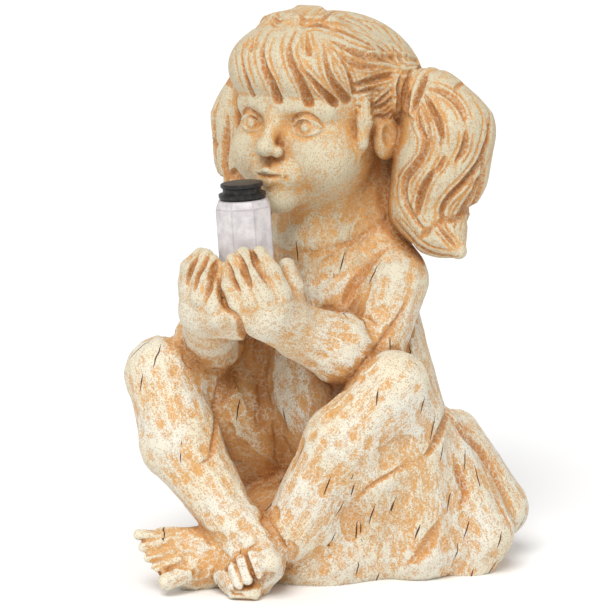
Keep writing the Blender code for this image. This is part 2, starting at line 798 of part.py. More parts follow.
def carve_hands(chisel):
    """Grooves between the fingers of both hands."""
    for side in SIDES:
        for number in range(3):
            near = finger_joints(side, number)
            far = finger_joints(side, number + 1)
            line = [a.lerp(b, 0.5) for a, b in zip(near, far)]
            centre = Vector(JAR_AT)
            spots = []
            for spot in line:
                out = spot - centre
                out.z = 0
                spots.append(spot + out.normalized() * 6.0)
            spots[0].z += 2.0
            spots[2].z -= 3.0
            chisel.stroke(spots, 2.2, 3.0, even, 1.0)


def carve_dress(chisel):
    """Neckline, armholes and the large folds."""
    neck = []
    for k in range(17):
        turn = math.tau * k / 16
        across, ahead = math.sin(turn), math.cos(turn)
        neck.append(TORSO @ Vector((27 * across, 3 - 30 * ahead, 186 - 12 * ahead)))
    chisel.stroke(neck, 3.2, 1.4, even, 1.2, lean=0.4)
    for side in SIDES:
        front = [(side * 33, -18, 168), (side * 27, -24, 152), (side * 25, -30, 136), (side * 27, -32, 124)]
        chisel.stroke([TORSO @ Vector(p) for p in front], 4.0, 2.4, spindle, 1.2)
        back = [(side * 36, 20, 166), (side * 33, 29, 150), (side * 36, 33, 132)]
        chisel.stroke([TORSO @ Vector(p) for p in back], 4.0, 2.2, spindle, 1.2)
    folds = (
        ((84, 6, 84), (96, 14, 54), (104, 20, 20), 6.0, 3.2),
        ((74, 8, 86), (84, -2, 48), (88, -6, 14), 6.0, 3.0),
        ((72, -6, 80), (62, -20, 48), (40, -32, 14), 6.5, 3.4),
        ((88, 36, 72), (108, 40, 44), (112, 44, 14), 6.0, 3.4),
        ((66, 60, 74), (86, 76, 40), (90, 80, 10), 6.0, 3.0),
    )
    for start, bend, end, width, depth in folds:
        chisel.stroke([start, bend, end], width, depth, spindle, 1.2, lean=0.3)
    for number in range(6):
        spread = -24 + 9 * number
        line = [(spread, -30, 84), (spread * 0.8, -52, 58), (spread * 0.5, -66, 44)]
        chisel.stroke([TORSO @ Vector(p) for p in line], 3.6, 1.8, spindle, 1.2)
    for number in range(5):
        spread = -40 + 20 * number
        high = 88 - 14 * (number % 2)
        line = [(spread * 0.7, 56, high), (spread * 1.0, 66, 50), (spread * 1.2, 76, 12)]
        chisel.stroke([TORSO @ Vector(p) for p in line], 8.0, 3.0, spindle, 1.3, lean=0.3)


def carve_hem(chisel):
    """The edge of the dress round her right thigh, and the pull of the cloth above it."""
    hip = TORSO @ Vector((-26, 6, 44))
    knee = Vector(KNEES[-1])
    axis = (knee - hip).normalized()
    up = (Vector((0, 0, 1)) - axis * axis.z).normalized()
    side = axis.cross(up)
    ring = []
    for k in range(11):
        turn = math.radians(-15 - 21 * k)
        arrow = up * math.cos(turn) + side * math.sin(turn)
        share = HEM_SHARE + 0.19 + 0.03 * math.cos(3 * turn)
        ring.append(chisel.toward(hip.lerp(knee, share), arrow, 60.0))
    chisel.stroke(ring, 6.0, 2.4, even, 1.3, lean=0.5)
    for k in range(5):
        turn = math.radians(-40 - 36 * k)
        arrow = up * math.cos(turn) + side * math.sin(turn)
        line = [chisel.toward(hip.lerp(knee, share), arrow, 70.0) for share in (0.62, 0.34, 0.05)]
        chisel.stroke(line, 5.5, 2.2, spindle, 1.3, lean=0.3)


def carve(made):
    chisel = Chisel(made)
    carve_fringe(chisel)
    carve_sweeps(chisel)
    carve_crown(chisel)
    carve_pigtails(chisel)
    carve_ties(chisel)
    carve_face(chisel)
    carve_hands(chisel)
    carve_dress(chisel)
    carve_hem(chisel)
    chisel.finish()


# Pieces
def decimate(made, triangles):
    step = made.modifiers.new("Thin", "DECIMATE")
    count = sum(len(face.vertices) - 2 for face in made.data.polygons)
    step.ratio = min(1.0, triangles / count)
    step.use_collapse_triangulate = True
    apply_modifiers(made)


def jar_frame():
    toward = math.radians(JAR_LEAN_TOWARD)
    axis = Vector((-math.sin(toward), math.cos(toward), 0))
    lean = Matrix.Rotation(math.radians(JAR_LEAN), 4, axis)
    return Matrix.Translation(JAR_AT) @ lean @ Matrix.Rotation(math.radians(JAR_TURN), 4, "Z")


def lathe(name, profile, sides, frame, turn=0.0):
    """Closed solid spun from (radius, height) pairs; zero radius ends close on the axis."""
    bm = bmesh.new()
    rings = []
    for radius, height in profile:
        if radius <= 0.0:
            rings.append([bm.verts.new((0, 0, height))])
            continue
        ring = []
        for k in range(sides):
            angle = math.tau * (k + 0.5) / sides + turn
            ring.append(bm.verts.new((radius * math.cos(angle), radius * math.sin(angle), height)))
        rings.append(ring)
    for low, high in zip(rings, rings[1:]):
        for k in range(sides):
            j = (k + 1) % sides
            if len(low) == 1:
                bm.faces.new((low[0], high[j], high[k]))
            elif len(high) == 1:
                bm.faces.new((low[k], low[j], high[0]))
            else:
                bm.faces.new((low[k], low[j], high[j], high[k]))
    bmesh.ops.recalc_face_normals(bm, faces=bm.faces)
    bm.transform(frame)
    return object_from_bmesh(name, bm)


def corner_radius(flats):
    return flats / 2 / math.cos(math.pi / 8)


def jar_profile():
    outer = corner_radius(JAR_FLATS)
    inner = outer - JAR_WALL
    top = JAR_HEIGHT
    mouth = corner_radius(JAR_MOUTH)
    return [
        (0, 0),
        (outer - 1.0, 0),
        (outer, 1.0),
        (outer, top - JAR_SHOULDER),
        (mouth + 3.0, top),
        (mouth, top),
        (mouth, top - 2.6),
        (inner, top - JAR_SHOULDER - 1.6),
        (inner, JAR_WALL + 0.8),
        (0, JAR_WALL + 0.8),
    ]


def cutter_collection():
    home = bpy.data.collections.new("statue_cutters")
    bpy.context.scene.collection.children.link(home)
    return home


def hide_cutter(tool, home):
    tool.hide_render = True
    tool.display_type = "WIRE"
    for old in list(tool.users_collection):
        old.objects.unlink(tool)
    home.objects.link(tool)


def boolean_cut(made, tool, home):
    hide_cutter(tool, home)
    step = made.modifiers.new("Cut", "BOOLEAN")
    step.operation = "DIFFERENCE"
    step.solver = "EXACT"
    step.object = tool
    apply_modifiers(made)


def ground_cutter():
    bm = bmesh.new()
    slab = Matrix.Translation((0, 0, -30)) @ Matrix.Diagonal((400, 400, 60, 1))
    bmesh.ops.create_cube(bm, size=1.0, matrix=slab)
    return object_from_bmesh("cut_ground", bm)


def pocket_cutter():
    outer = corner_radius(JAR_FLATS) + PIECE_GAP * 1.1
    profile = [(0, -PIECE_GAP), (outer, -PIECE_GAP), (outer, JAR_HEIGHT + 12), (0, JAR_HEIGHT + 12)]
    return lathe("cut_pocket", profile, 8, jar_frame())


def build_figure(voxel, triangles, home):
    figure = clay_object("figure", figure_clay(), voxel)
    carve(figure)
    decimate(figure, triangles)
    boolean_cut(figure, pocket_cutter(), home)
    boolean_cut(figure, ground_cutter(), home)
    return figure


def build_jar():
    return lathe("jar", jar_profile(), 8, jar_frame())


def build_stopper():
    plug, flange, cap = STOPPER_PLUG / 2, STOPPER_FLANGE / 2, STOPPER_CAP / 2
    top = JAR_HEIGHT + PIECE_GAP
    profile = [
        (0, JAR_HEIGHT - 2.2),
        (plug, JAR_HEIGHT - 2.2),
        (plug, top),
        (flange - 1.0, top),
        (flange, top + 1.0),
        (flange, top + 2.8),
        (cap - 1.0, top + 3.4),
        (cap - 1.0, top + 5.6),
        (cap, top + 6.2),
        (cap, top + 7.8),
        (cap - 0.6, top + 8.2),
        (0, top + 8.2),
    ]
    return lathe("stopper", profile, 28, jar_frame())


def paint(made, colour, roughness, transmission=0.0):
    material = bpy.data.materials.new(made.name)
    material.use_nodes = True
    shader = material.node_tree.nodes["Principled BSDF"]
    shader.inputs["Base Color"].default_value = (*colour, 1.0)
    shader.inputs["Roughness"].default_value = roughness
    shader.inputs["Transmission Weight"].default_value = transmission
    made.data.materials.clear()
    made.data.materials.append(material)


def main():
    home = bpy.data.collections.new("child_garden_statue")
    bpy.context.scene.collection.children.link(home)
    cutters = cutter_collection()
    figure = build_figure(CLAY_VOXEL, FIGURE_TRIANGLES, cutters)
    jar = build_jar()
    stopper = build_stopper()
    paint(figure, (0.80, 0.62, 0.40), 0.75)
    paint(jar, (0.86, 0.84, 0.86), 0.5, 0.4)
    paint(stopper, (0.02, 0.02, 0.022), 0.35)
    for piece in (figure, jar, stopper):
        for old in list(piece.users_collection):
            old.objects.unlink(piece)
        home.objects.link(piece)


main()
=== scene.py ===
"""Looks of the child garden statue: painted cast, frosted jar and black stopper."""

import json
import math
from types import SimpleNamespace

import bmesh
import bpy
import numpy as np
from mathutils import Matrix, Vector
from mathutils.bvhtree import BVHTree
from mathutils.kdtree import KDTree

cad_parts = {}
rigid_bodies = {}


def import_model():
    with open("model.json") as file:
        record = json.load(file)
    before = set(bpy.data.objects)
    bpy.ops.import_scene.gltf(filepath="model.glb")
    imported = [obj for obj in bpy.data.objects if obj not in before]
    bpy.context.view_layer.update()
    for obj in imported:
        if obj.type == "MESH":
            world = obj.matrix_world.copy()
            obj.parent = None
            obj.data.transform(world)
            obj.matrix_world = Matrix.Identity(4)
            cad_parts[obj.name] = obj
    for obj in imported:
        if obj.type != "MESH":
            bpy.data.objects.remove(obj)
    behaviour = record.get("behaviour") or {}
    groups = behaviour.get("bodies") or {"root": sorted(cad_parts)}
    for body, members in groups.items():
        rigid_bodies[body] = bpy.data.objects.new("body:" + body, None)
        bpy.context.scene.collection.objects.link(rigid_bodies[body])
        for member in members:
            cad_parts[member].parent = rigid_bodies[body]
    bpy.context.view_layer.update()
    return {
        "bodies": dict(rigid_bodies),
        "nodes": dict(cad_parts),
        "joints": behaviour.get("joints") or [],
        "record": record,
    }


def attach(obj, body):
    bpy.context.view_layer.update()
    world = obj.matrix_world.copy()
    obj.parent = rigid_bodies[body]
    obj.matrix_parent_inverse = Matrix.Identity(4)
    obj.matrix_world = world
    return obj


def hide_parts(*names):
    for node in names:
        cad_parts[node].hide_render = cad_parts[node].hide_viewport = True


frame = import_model()

# One millimetre in metres
MM = 0.001

# Fineness of the figure's skin: voxel in millimetres and count of triangles
SKIN_VOXEL = 0.8
SKIN_TRIANGLES = 194000

# Camera of the photograph: degrees, metres, and millimetres of lens and sensor
VIEW_AZIMUTH = 30.0
VIEW_RISE = 11.0
VIEW_DISTANCE = 1.5
VIEW_HEIGHT = 0.1403
LENS = 165.0
SENSOR = 36.0

# The picture's side in pixels, and how many of them show a millimetre of the figure
PICTURE = 612
PIXELS_PER_MM = 1.87

# Paint colours, linear; those noted below are wholly or partly painted shade
CREAM_WARM = (0.74, 0.67, 0.50)
CREAM_COOL = (0.74, 0.71, 0.60)
# Darker, yellower cream mixed in toward the head: painted shade on the upper part of the figure
CREAM_UPPER_SHADE = (0.60, 0.53, 0.36)
# Dim cream in sheltered hollows: painted shade
CREAM_HOLLOW_SHADE = (0.46, 0.34, 0.17)
CREAM_ROSE = (0.47, 0.29, 0.18)
OCHRE_PALE = (0.70, 0.44, 0.21)
OCHRE_LIGHT = (0.63, 0.31, 0.075)
# Ochre deepens toward this in grooves, at random and, as painted shade, where the form shelters it
OCHRE_DEEP = (0.49, 0.175, 0.02)
FLECK_BROWN = (0.40, 0.24, 0.13)
# Brown mostly in sheltered hollows and creases, which is painted shade, with a little in hair grooves
OCHRE_BROWN = (0.35, 0.115, 0.012)
# Near black inside each nick: painted shade in a cut that the mesh does not hold
SLIT_DARK = (0.08, 0.018, 0.005)

# Nicks in the paint, in millimetres: spacing, depth, half length, its spread and half width
SLIT_CELL = 16.0
SLIT_DEPTH = 2.2
SLIT_HALF = 4.5
SLIT_SPREAD = 3.0
SLIT_WIDTH = 0.46

# Light and floor: angles in degrees, strengths, half the floor's side in metres and its grey
KEY_TURN = 16
KEY_RISE = 50
KEY_SPREAD = 32
KEY_STRENGTH = 2.2
SKY_STRENGTH = 0.62
FLOOR_HALF = 6.0
FLOOR_GREY = 0.97

# Reckoning of the clay: block size, how far seams soften, start value, largest step
CELL = 18.0
REACH = 16.0
FAR = 60.0
STEP = 2.5
TINY = 1e-9

# Body frames: where the torso and the head stand and how far they turn
TORSO_AT = (10.0, 15.0, 0.0)
TORSO_TURN = -10.0
HEAD_AT = (6.0, 6.0, 243.0)
HEAD_TURN = -4.0
HEAD_LIFT = -5.0

# Jar and stopper, in millimetres and degrees, with the gap between two pieces
PIECE_GAP = 0.3
JAR_AT = (-1.0, -57.0, 157.0)
JAR_LEAN = 3.7
JAR_LEAN_TOWARD = 210.0
JAR_TURN = 30.0
JAR_FLATS = 28.0
JAR_HEIGHT = 49.0
JAR_SHOULDER = 4.0
JAR_WALL = 2.2
JAR_MOUTH = 19.0
JAR_FLOOR = JAR_WALL + 0.8
JAR_BEVEL = 1.0
JAR_LIP = 3.0
STOPPER_PLUG = JAR_MOUTH - 2 * PIECE_GAP
STOPPER_DEPTH = 2.2
STOPPER_FLANGE = 24.5
STOPPER_CAP = 22.0

TORSO = Matrix.Translation(TORSO_AT) @ Matrix.Rotation(math.radians(TORSO_TURN), 4, "Z")
HEAD = (
    Matrix.Translation(HEAD_AT)
    @ Matrix.Rotation(math.radians(HEAD_TURN), 4, "Z")
    @ Matrix.Rotation(math.radians(HEAD_LIFT), 4, "X")
)
WORLD = Matrix.Identity(4)
SIDES = (1, -1)


def around(azimuth, rise, distance, height):
    """A point on a ball about the figure's axis; azimuth 0 is straight in front."""
    azimuth, rise = math.radians(azimuth), math.radians(rise)
    flat = distance * math.cos(rise)
    spot = (flat * math.sin(azimuth), -flat * math.cos(azimuth), distance * math.sin(rise) + height)
    return Vector(spot)


VIEW_SPOT = around(VIEW_AZIMUTH, VIEW_RISE, VIEW_DISTANCE, VIEW_HEIGHT)
VIEW_TURN = (Vector((0, 0, VIEW_HEIGHT)) - VIEW_SPOT).to_track_quat("-Z", "Y")


# Clay: smooth unions of simple forms, in millimetres
def ball(at, radii, blend=6.0, frame=WORLD, turn=(0, 0, 0), cut=False):
    """An ellipsoid given by centre and three radii."""
    if not isinstance(radii, tuple):
        radii = (radii, radii, radii)
    spin = Matrix.Rotation(math.radians(turn[2]), 4, "Z")
    spin = spin @ Matrix.Rotation(math.radians(turn[1]), 4, "Y")
    spin = spin @ Matrix.Rotation(math.radians(turn[0]), 4, "X")
    place = frame @ Matrix.Translation(at) @ spin
    form = {"kind": "ball", "place": place, "size": radii, "blend": blend, "cut": cut}
    form["inverse"] = np.array(place.inverted())
    form["centre"], form["reach"] = place.translation, max(radii)
    return form


def limb(start, start_radius, end, end_radius, blend=6.0, frame=WORLD, cut=False):
    """A rounded bar that tapers from one radius to the other."""
    ends = (frame @ Vector(start), frame @ Vector(end))
    radii = (start_radius, end_radius)
    form = {"kind": "limb", "ends": ends, "size": radii, "blend": blend, "cut": cut}
    form["base"], form["axis"] = np.array(ends[0]), np.array(ends[1] - ends[0])
    form["centre"] = (ends[0] + ends[1]) / 2
    form["reach"] = (ends[1] - ends[0]).length / 2 + max(radii)
    return form


def chain(points, radii, blend=6.0, frame=WORLD, inner=None):
    """Limbs laid end to end through a few points."""
    forms = []
    for i in range(len(points) - 1):
        soft = blend if i == 0 or inner is None else inner
        forms.append(limb(points[i], radii[i], points[i + 1], radii[i + 1], soft, frame))
    return forms


def block(at, half, rounding, blend=2.0, frame=WORLD, turn=(0, 0, 0), cut=False):
    """A box with rounded edges."""
    form = ball(at, half, blend, frame, turn, cut)
    form["kind"] = "block"
    form["rounding"] = rounding
    form["reach"] = Vector(half).length
    return form


def form_distance(form, points):
    """Distance from each point to the skin of the form, minus inside."""
    if form["kind"] == "limb":
        axis = form["axis"]
        start_radius, end_radius = form["size"]
        gap = points - form["base"]
        along = np.minimum(np.maximum(gap @ axis / max(axis @ axis, TINY), 0.0), 1.0)
        gap = gap - along[:, None] * axis
        away = np.sqrt(np.einsum("ij,ij->i", gap, gap))
        return away - (start_radius + (end_radius - start_radius) * along)
    inverse = form["inverse"]
    local = points @ inverse[:3, :3].T + inverse[:3, 3]
    if form["kind"] == "block":
        q = np.abs(local) - (np.array(form["size"]) - form["rounding"])
        outer = np.sqrt((np.maximum(q, 0.0) ** 2).sum(1))
        return outer + np.minimum(q.max(1), 0.0) - form["rounding"]
    scaled = local / form["size"]
    near = np.sqrt(np.einsum("ij,ij->i", scaled, scaled))
    scaled /= form["size"]
    steep = np.sqrt(np.einsum("ij,ij->i", scaled, scaled))
    return near * (near - 1.0) / np.maximum(steep, TINY)


def soft_min(a, b, blend):
    mix = np.minimum(np.maximum(0.5 + 0.5 * (b - a) / blend, 0.0), 1.0)
    return b + (a - b) * mix - blend * mix * (1.0 - mix)


def group_distance(forms, points):
    total = np.full(len(points), FAR)
    for form in forms:
        distance = form_distance(form, points)
        if form["cut"]:
            total = -soft_min(-total, distance, form["blend"])
        else:
            total = soft_min(total, distance, form["blend"])
    return total


def clay_cells(groups, points):
    """Cuts the points into cubes, each with only the forms that reach it."""
    steps = np.floor(points / CELL).astype(np.int64)
    keys = steps @ np.array((1, 1000, 1000000))
    order = np.argsort(keys, kind="stable")
    cells = []
    for picked in np.split(order, np.flatnonzero(np.diff(keys[order])) + 1):
        low, high = points[picked].min(0), points[picked].max(0)
        middle = Vector((low + high) / 2)
        room = Vector((high - low) / 2).length + REACH
        near = []
        for blend, forms in groups:
            kept = []
            for form in forms:
                if (form["centre"] - middle).length < form["reach"] + room:
                    kept.append(form)
            if any(not form["cut"] for form in kept):
                near.append((blend, kept))
        cells.append((picked, near))
    return cells


def clay_distance(cells, points):
    total = np.full(len(points), FAR)
    for picked, groups in cells:
        spots = points[picked]
        level = total[picked]
        for blend, forms in groups:
            level = soft_min(level, group_distance(forms, spots), blend)
        total[picked] = level
    return total


# Blockout: solid primitives of every form, melted together by voxels
def unit_ball_mesh():
    bm = bmesh.new()
    bmesh.ops.create_uvsphere(bm, u_segments=24, v_segments=14, radius=1.0)
    mesh = bpy.data.meshes.new("unit_ball")
    bm.to_mesh(mesh)
    bm.free()
    return mesh


UNIT_BALL = unit_ball_mesh()


def add_ball_mesh(bm, place, radii):
    copy = UNIT_BALL.copy()
    copy.transform(place @ Matrix.Diagonal((*radii, 1.0)))
    bm.from_mesh(copy)
    bpy.data.meshes.remove(copy)


def add_form_mesh(bm, form):
    if form["kind"] == "ball":
        add_ball_mesh(bm, form["place"], form["size"])
    elif form["kind"] == "block":
        scale = Matrix.Diagonal((*[s * 2 for s in form["size"]], 1.0))
        bmesh.ops.create_cube(bm, size=1.0, matrix=form["place"] @ scale)
    else:
        hull = bmesh.new()
        for end, radius in zip(form["ends"], form["size"]):
            add_ball_mesh(hull, Matrix.Translation(end), (radius,) * 3)
        done = bmesh.ops.convex_hull(hull, input=hull.verts)
        loose = [v for v in done["geom_interior"] if isinstance(v, bmesh.types.BMVert)]
        bmesh.ops.delete(hull, geom=loose, context="VERTS")
        shell = bpy.data.meshes.new("hull")
        hull.to_mesh(shell)
        hull.free()
        bm.from_mesh(shell)
        bpy.data.meshes.remove(shell)


def object_from_bmesh(name, bm, scale=MM):
    bm.transform(Matrix.Scale(scale, 4))
    mesh = bpy.data.meshes.new(name)
    bm.to_mesh(mesh)
    bm.free()
    made = bpy.data.objects.new(name, mesh)
    bpy.context.scene.collection.objects.link(made)
    return made


def apply_modifiers(made):
    """Replaces the mesh by its modified form."""
    graph = bpy.context.evaluated_depsgraph_get()
    fresh = bpy.data.meshes.new_from_object(made.evaluated_get(graph))
    made.modifiers.clear()
    old = made.data
    made.data = fresh
    bpy.data.meshes.remove(old)


def remesh(made, voxel):
    step = made.modifiers.new("Melt", "REMESH")
    step.mode = "VOXEL"
    step.voxel_size = voxel * MM
    step.adaptivity = 0.0
    apply_modifiers(made)


def mesh_points(made):
    flat = np.empty(len(made.data.vertices) * 3)
    made.data.vertices.foreach_get("co", flat)
    return flat.reshape(-1, 3) / MM


def mesh_normals(made):
    flat = np.empty(len(made.data.vertices) * 3)
    made.data.vertices.foreach_get("normal", flat)
    return flat.reshape(-1, 3)


def set_points(made, points):
    made.data.vertices.foreach_set("co", (points * MM).ravel())
    made.data.update()


def mesh_edges(made):
    flat = np.empty(len(made.data.edges) * 2, dtype=np.int64)
    made.data.edges.foreach_get("vertices", flat)
    return flat.reshape(-1, 2)


def neighbour_mean(points, edges):
    count = np.bincount(edges.ravel(), minlength=len(points)).astype(float)
    mean = np.empty_like(points)
    for axis in range(points.shape[1]):
        column = points[:, axis]
        total = np.bincount(edges[:, 0], column[edges[:, 1]], len(points))
        total += np.bincount(edges[:, 1], column[edges[:, 0]], len(points))
        mean[:, axis] = total / np.maximum(count, 1.0)
    return mean


def settle(made, groups, rounds):
    """Moves each vertex to the skin of the clay and evens the spacing."""
    edges = mesh_edges(made)
    cells = clay_cells(groups, mesh_points(made))
    for turn in range(rounds):
        points = mesh_points(made)
        normals = mesh_normals(made)
        move = np.clip(clay_distance(cells, points), -STEP, STEP)
        points = points - normals * move[:, None]
        if turn < rounds - 1:
            drift = neighbour_mean(points, edges) - points
            drift -= normals * (drift * normals).sum(1)[:, None]
            points = points + drift * 0.5
        set_points(made, points)


def clay_object(name, groups, voxel):
    bm = bmesh.new()
    for _, forms in groups:
        for form in forms:
            if not form["cut"]:
                add_form_mesh(bm, form)
    made = object_from_bmesh(name, bm)
    remesh(made, 2 * voxel)
    settle(made, groups, 4)
    remesh(made, voxel)
    settle(made, groups, 4)
    return made


# Chisel: strokes that cut into or raise the skin along a path

# Where a ray that misses the skin ends, in millimetres
MISSED_REACH = 40.0

# Share of the way along the path that a stroke leaves out of its reach, and its least swell
END_PULL = 0.6
THINNEST = 0.25

# How squarely the skin has to face a stroke, and the sharpness that means a rounded slope
FACING_LEAST = 0.15
SMOOTH_EDGE = 2.0


def smooth_path(points, spacing=1.0):
    """Catmull-Rom curve through the points, in even steps."""
    points = [Vector(p) for p in points]
    if len(points) < 2:
        return points
    ring = [points[0] * 2 - points[1]] + points + [points[-1] * 2 - points[-2]]
    path = []
    for i in range(1, len(ring) - 2):
        a, b, c, d = ring[i - 1 : i + 3]
        steps = max(2, int((c - b).length / spacing))
        for k in range(steps):
            t = k / steps
            curve = 2 * b + (c - a) * t + (2 * a - 5 * b + 4 * c - d) * t * t
            path.append((curve + (3 * b - a - 3 * c + d) * t**3) * 0.5)
    path.append(points[-1])
    return path


def spindle(t, power=0.6):
    """Full in the middle, tapered to both ends."""
    return max(0.0, math.sin(math.pi * min(max(t, 0.0), 1.0))) ** power


def widening(t):
    return min(1.0, 0.15 + 1.1 * t)


def even(t):
    return min(1.0, 8.0 * t + 0.3, 8.0 * (1.0 - t) + 0.3)


class Chisel:
    """Collects strokes over one mesh and then moves its skin once."""

    def __init__(self, made):
        self.made = made
        self.points = mesh_points(made)
        self.normals = mesh_normals(made)
        made.data.calc_loop_triangles()
        corners = [Vector(p) for p in self.points]
        faces = [tuple(t.vertices) for t in made.data.loop_triangles]
        self.tree = BVHTree.FromPolygons(corners, faces)
        self.cut = np.zeros(len(self.points))
        self.lift = np.zeros(len(self.points))
        self.groove = np.zeros(len(self.points))

    def snap(self, path):
        hits = [self.tree.find_nearest(p) for p in path]
        return [hit[0] for hit in hits], [hit[1] for hit in hits]

    def toward(self, origin, direction, reach=120.0):
        """The outer skin point seen from far out along a direction."""
        direction = Vector(direction).normalized()
        start = Vector(origin) + direction * reach
        hit = self.tree.ray_cast(start, -direction)
        return hit[0] if hit[0] is not None else Vector(origin) + direction * MISSED_REACH

    def seen(self, spot):
        """Where the sight line through a picture point meets the skin."""
        across = (spot[0] - PICTURE / 2) * SENSOR / PICTURE
        rise = (PICTURE / 2 - spot[1]) * SENSOR / PICTURE
        turn = VIEW_TURN.to_matrix()
        arrow = turn @ Vector((across, rise, -LENS))
        return self.tree.ray_cast(VIEW_SPOT / MM, arrow.normalized())[0]

    def stroke(self, points, width, depth, taper=spindle, sharp=1.0, lean=0.0, spacing=1.0):
        """Depth above zero cuts, below zero raises; lean softens one side."""
        path, facing = self.snap(smooth_path(points, spacing))
        centres = np.array([tuple(p) for p in path])
        outward = np.array([tuple(n) for n in facing])
        low = centres.min(0) - width * (1 + abs(lean))
        high = centres.max(0) + width * (1 + abs(lean))
        inside = np.all((self.points > low) & (self.points < high), axis=1)
        picked = np.flatnonzero(inside)
        if not len(picked):
            return
        gap = self.points[picked][:, None, :] - centres[None, :, :]
        nearest = (gap * gap).sum(2).argmin(1)
        rows = np.arange(len(picked))
        offset = gap[rows, nearest]
        along = np.gradient(centres, axis=0)
        along /= np.maximum(np.linalg.norm(along, axis=1), TINY)[:, None]
        side = np.cross(along, outward)[nearest]
        offset = offset - along[nearest] * (offset * along[nearest]).sum(1)[:, None] * END_PULL
        away = np.linalg.norm(offset, axis=1)
        swell = np.array([taper(t) for t in np.linspace(0, 1, len(path))])[nearest]
        leaning = 1.0 + lean * np.sign((offset * side).sum(1))
        ratio = away / (width * np.maximum(swell, THINNEST) * leaning)
        level = np.clip(1.0 - ratio, 0.0, 1.0)
        level = level**sharp if sharp != SMOOTH_EDGE else level * level * (3.0 - 2.0 * level)
        level *= (self.normals[picked] * outward[nearest]).sum(1) > FACING_LEAST
        amount = abs(depth) * swell * level
        target = self.cut if depth > 0 else self.lift
        target[picked] = np.maximum(target[picked], amount)
        if depth > 0:
            stain = np.minimum(1.0, 2.4 * level) * min(1.0, 0.35 + depth / 2.5)
            self.groove[picked] = np.maximum(self.groove[picked], stain)

    def finish(self):
        move = (self.lift - self.cut)[:, None]
        set_points(self.made, self.points + self.normals * move)


# Body forms
def torso_forms():
    """Chest, belly, hips and the straight back of the dress."""
    return [
        ball((0, 10, 46), (50, 44, 50), 8, TORSO),
        ball((0, -6, 96), (40, 36, 46), 14, TORSO),
        ball((0, 0, 138), (38, 31, 36), 10, TORSO),
        limb((9, 4, 142), 33, (13, 9, 78), 44, 8, TORSO),
        limb((0, 0, 158), 29, (2, 2, 196), 25, 8, TORSO),
        limb((-36, 2, 156), 17.5, (36, 2, 156), 18.5, 8, TORSO),
        limb((-38, -8, 112), 20, (-38, -12, 84), 27, 8),
        limb((4, 8, 182), 27, (8, 12, 206), 26, 10),
        limb((18, 4, 186), 14, (38, 2, 162), 15, 8, TORSO),
        limb((-18, 4, 186), 14, (-38, 2, 162), 15, 8, TORSO),
        limb((34, 18, 224), 10, (30, 20, 186), 17, 8),
    ]


ELBOWS = {1: (45, -10, 117), -1: (-50, -20, 114)}
WRISTS = {1: (23, -47, 137), -1: (-27, -52, 134)}


def arm_forms():
    forms = []
    for side in SIDES:
        shoulder = TORSO @ Vector((side * 40, 0, 155))
        elbow = Vector(ELBOWS[side])
        wrist = Vector(WRISTS[side])
        forms += [
            limb(shoulder, 17, elbow, 16, 4),
            limb(elbow, 17, elbow.lerp(wrist, 0.45), 18.5, 4),
            limb(elbow.lerp(wrist, 0.45), 18.5, wrist, 14.5, 3),
        ]
    return forms


KNEES = {1: (67, -25, 108), -1: (-56, -54, 107)}
HEM_SHARE = 0.58
ANKLES = {1: (20, -48, 31), -1: (-3, -69, 35)}


def leg_forms():
    """Thighs under the dress, then the crossed shins."""
    right_hip = TORSO @ Vector((-26, 6, 44))
    left_hip = TORSO @ Vector((30, 2, 50))
    forms = [
        limb(right_hip, 33, KNEES[-1], 19.5, 8),
        limb(left_hip, 34, KNEES[1], 18, 8),
        limb(KNEES[-1], 20, (-39, -64, 74), 21, 5),
        limb((-39, -64, 74), 21, ANKLES[-1], 13.5, 5),
        limb(KNEES[1], 18, (45, -39, 79), 20, 6),
        limb((45, -39, 79), 20, ANKLES[1], 17, 6),
    ]
    forms.append(limb(right_hip, 36, right_hip.lerp(Vector(KNEES[-1]), HEM_SHARE), 27, 4))
    return forms


def near_foot_forms():
    """Her right foot, crossed in front, with the toes stepped down its face."""
    ball_joint, outer_joint = (16.0, -69.5, 17.0), (-0.5, -77.5, 11.5)
    forms = [
        limb(ANKLES[-1], 13, (3, -69, 24), 12, 5),
        limb((1, -68, 34), 12.5, (13, -68, 24), 10.5, 5),
        limb((3, -69, 24), 12, ball_joint, 9.5, 5),
        limb((3, -69, 24), 11, outer_joint, 8.5, 5),
        limb(outer_joint, 8, ball_joint, 9.5, 4),
        limb((0.5, -76, 4), 6, (10.5, -71, 4), 7, 3),
        limb((10.5, -71, 4), 7, ball_joint, 9, 3),
        limb((5.5, -83, 4.5), 4.5, (14, -79, 4.5), 5, 3),
    ]
    roots = ((18, -73.5, 24.5), (15.2, -80.5, 25), (10, -83.6, 21.8), (5, -85.4, 17.8), (0.4, -86, 14))
    tips = ((24, -79, 21.5), (20.3, -82, 15.8), (14.6, -85.5, 12.6), (10.1, -87, 9.6), (5.4, -87.4, 7.4))
    sizes = (6.6, 3.1, 3.0, 2.8, 2.6)
    for root, tip, size in zip(roots, tips, sizes):
        forms.append(limb(root, size, tip, size * 0.96, 0.8))
    return forms


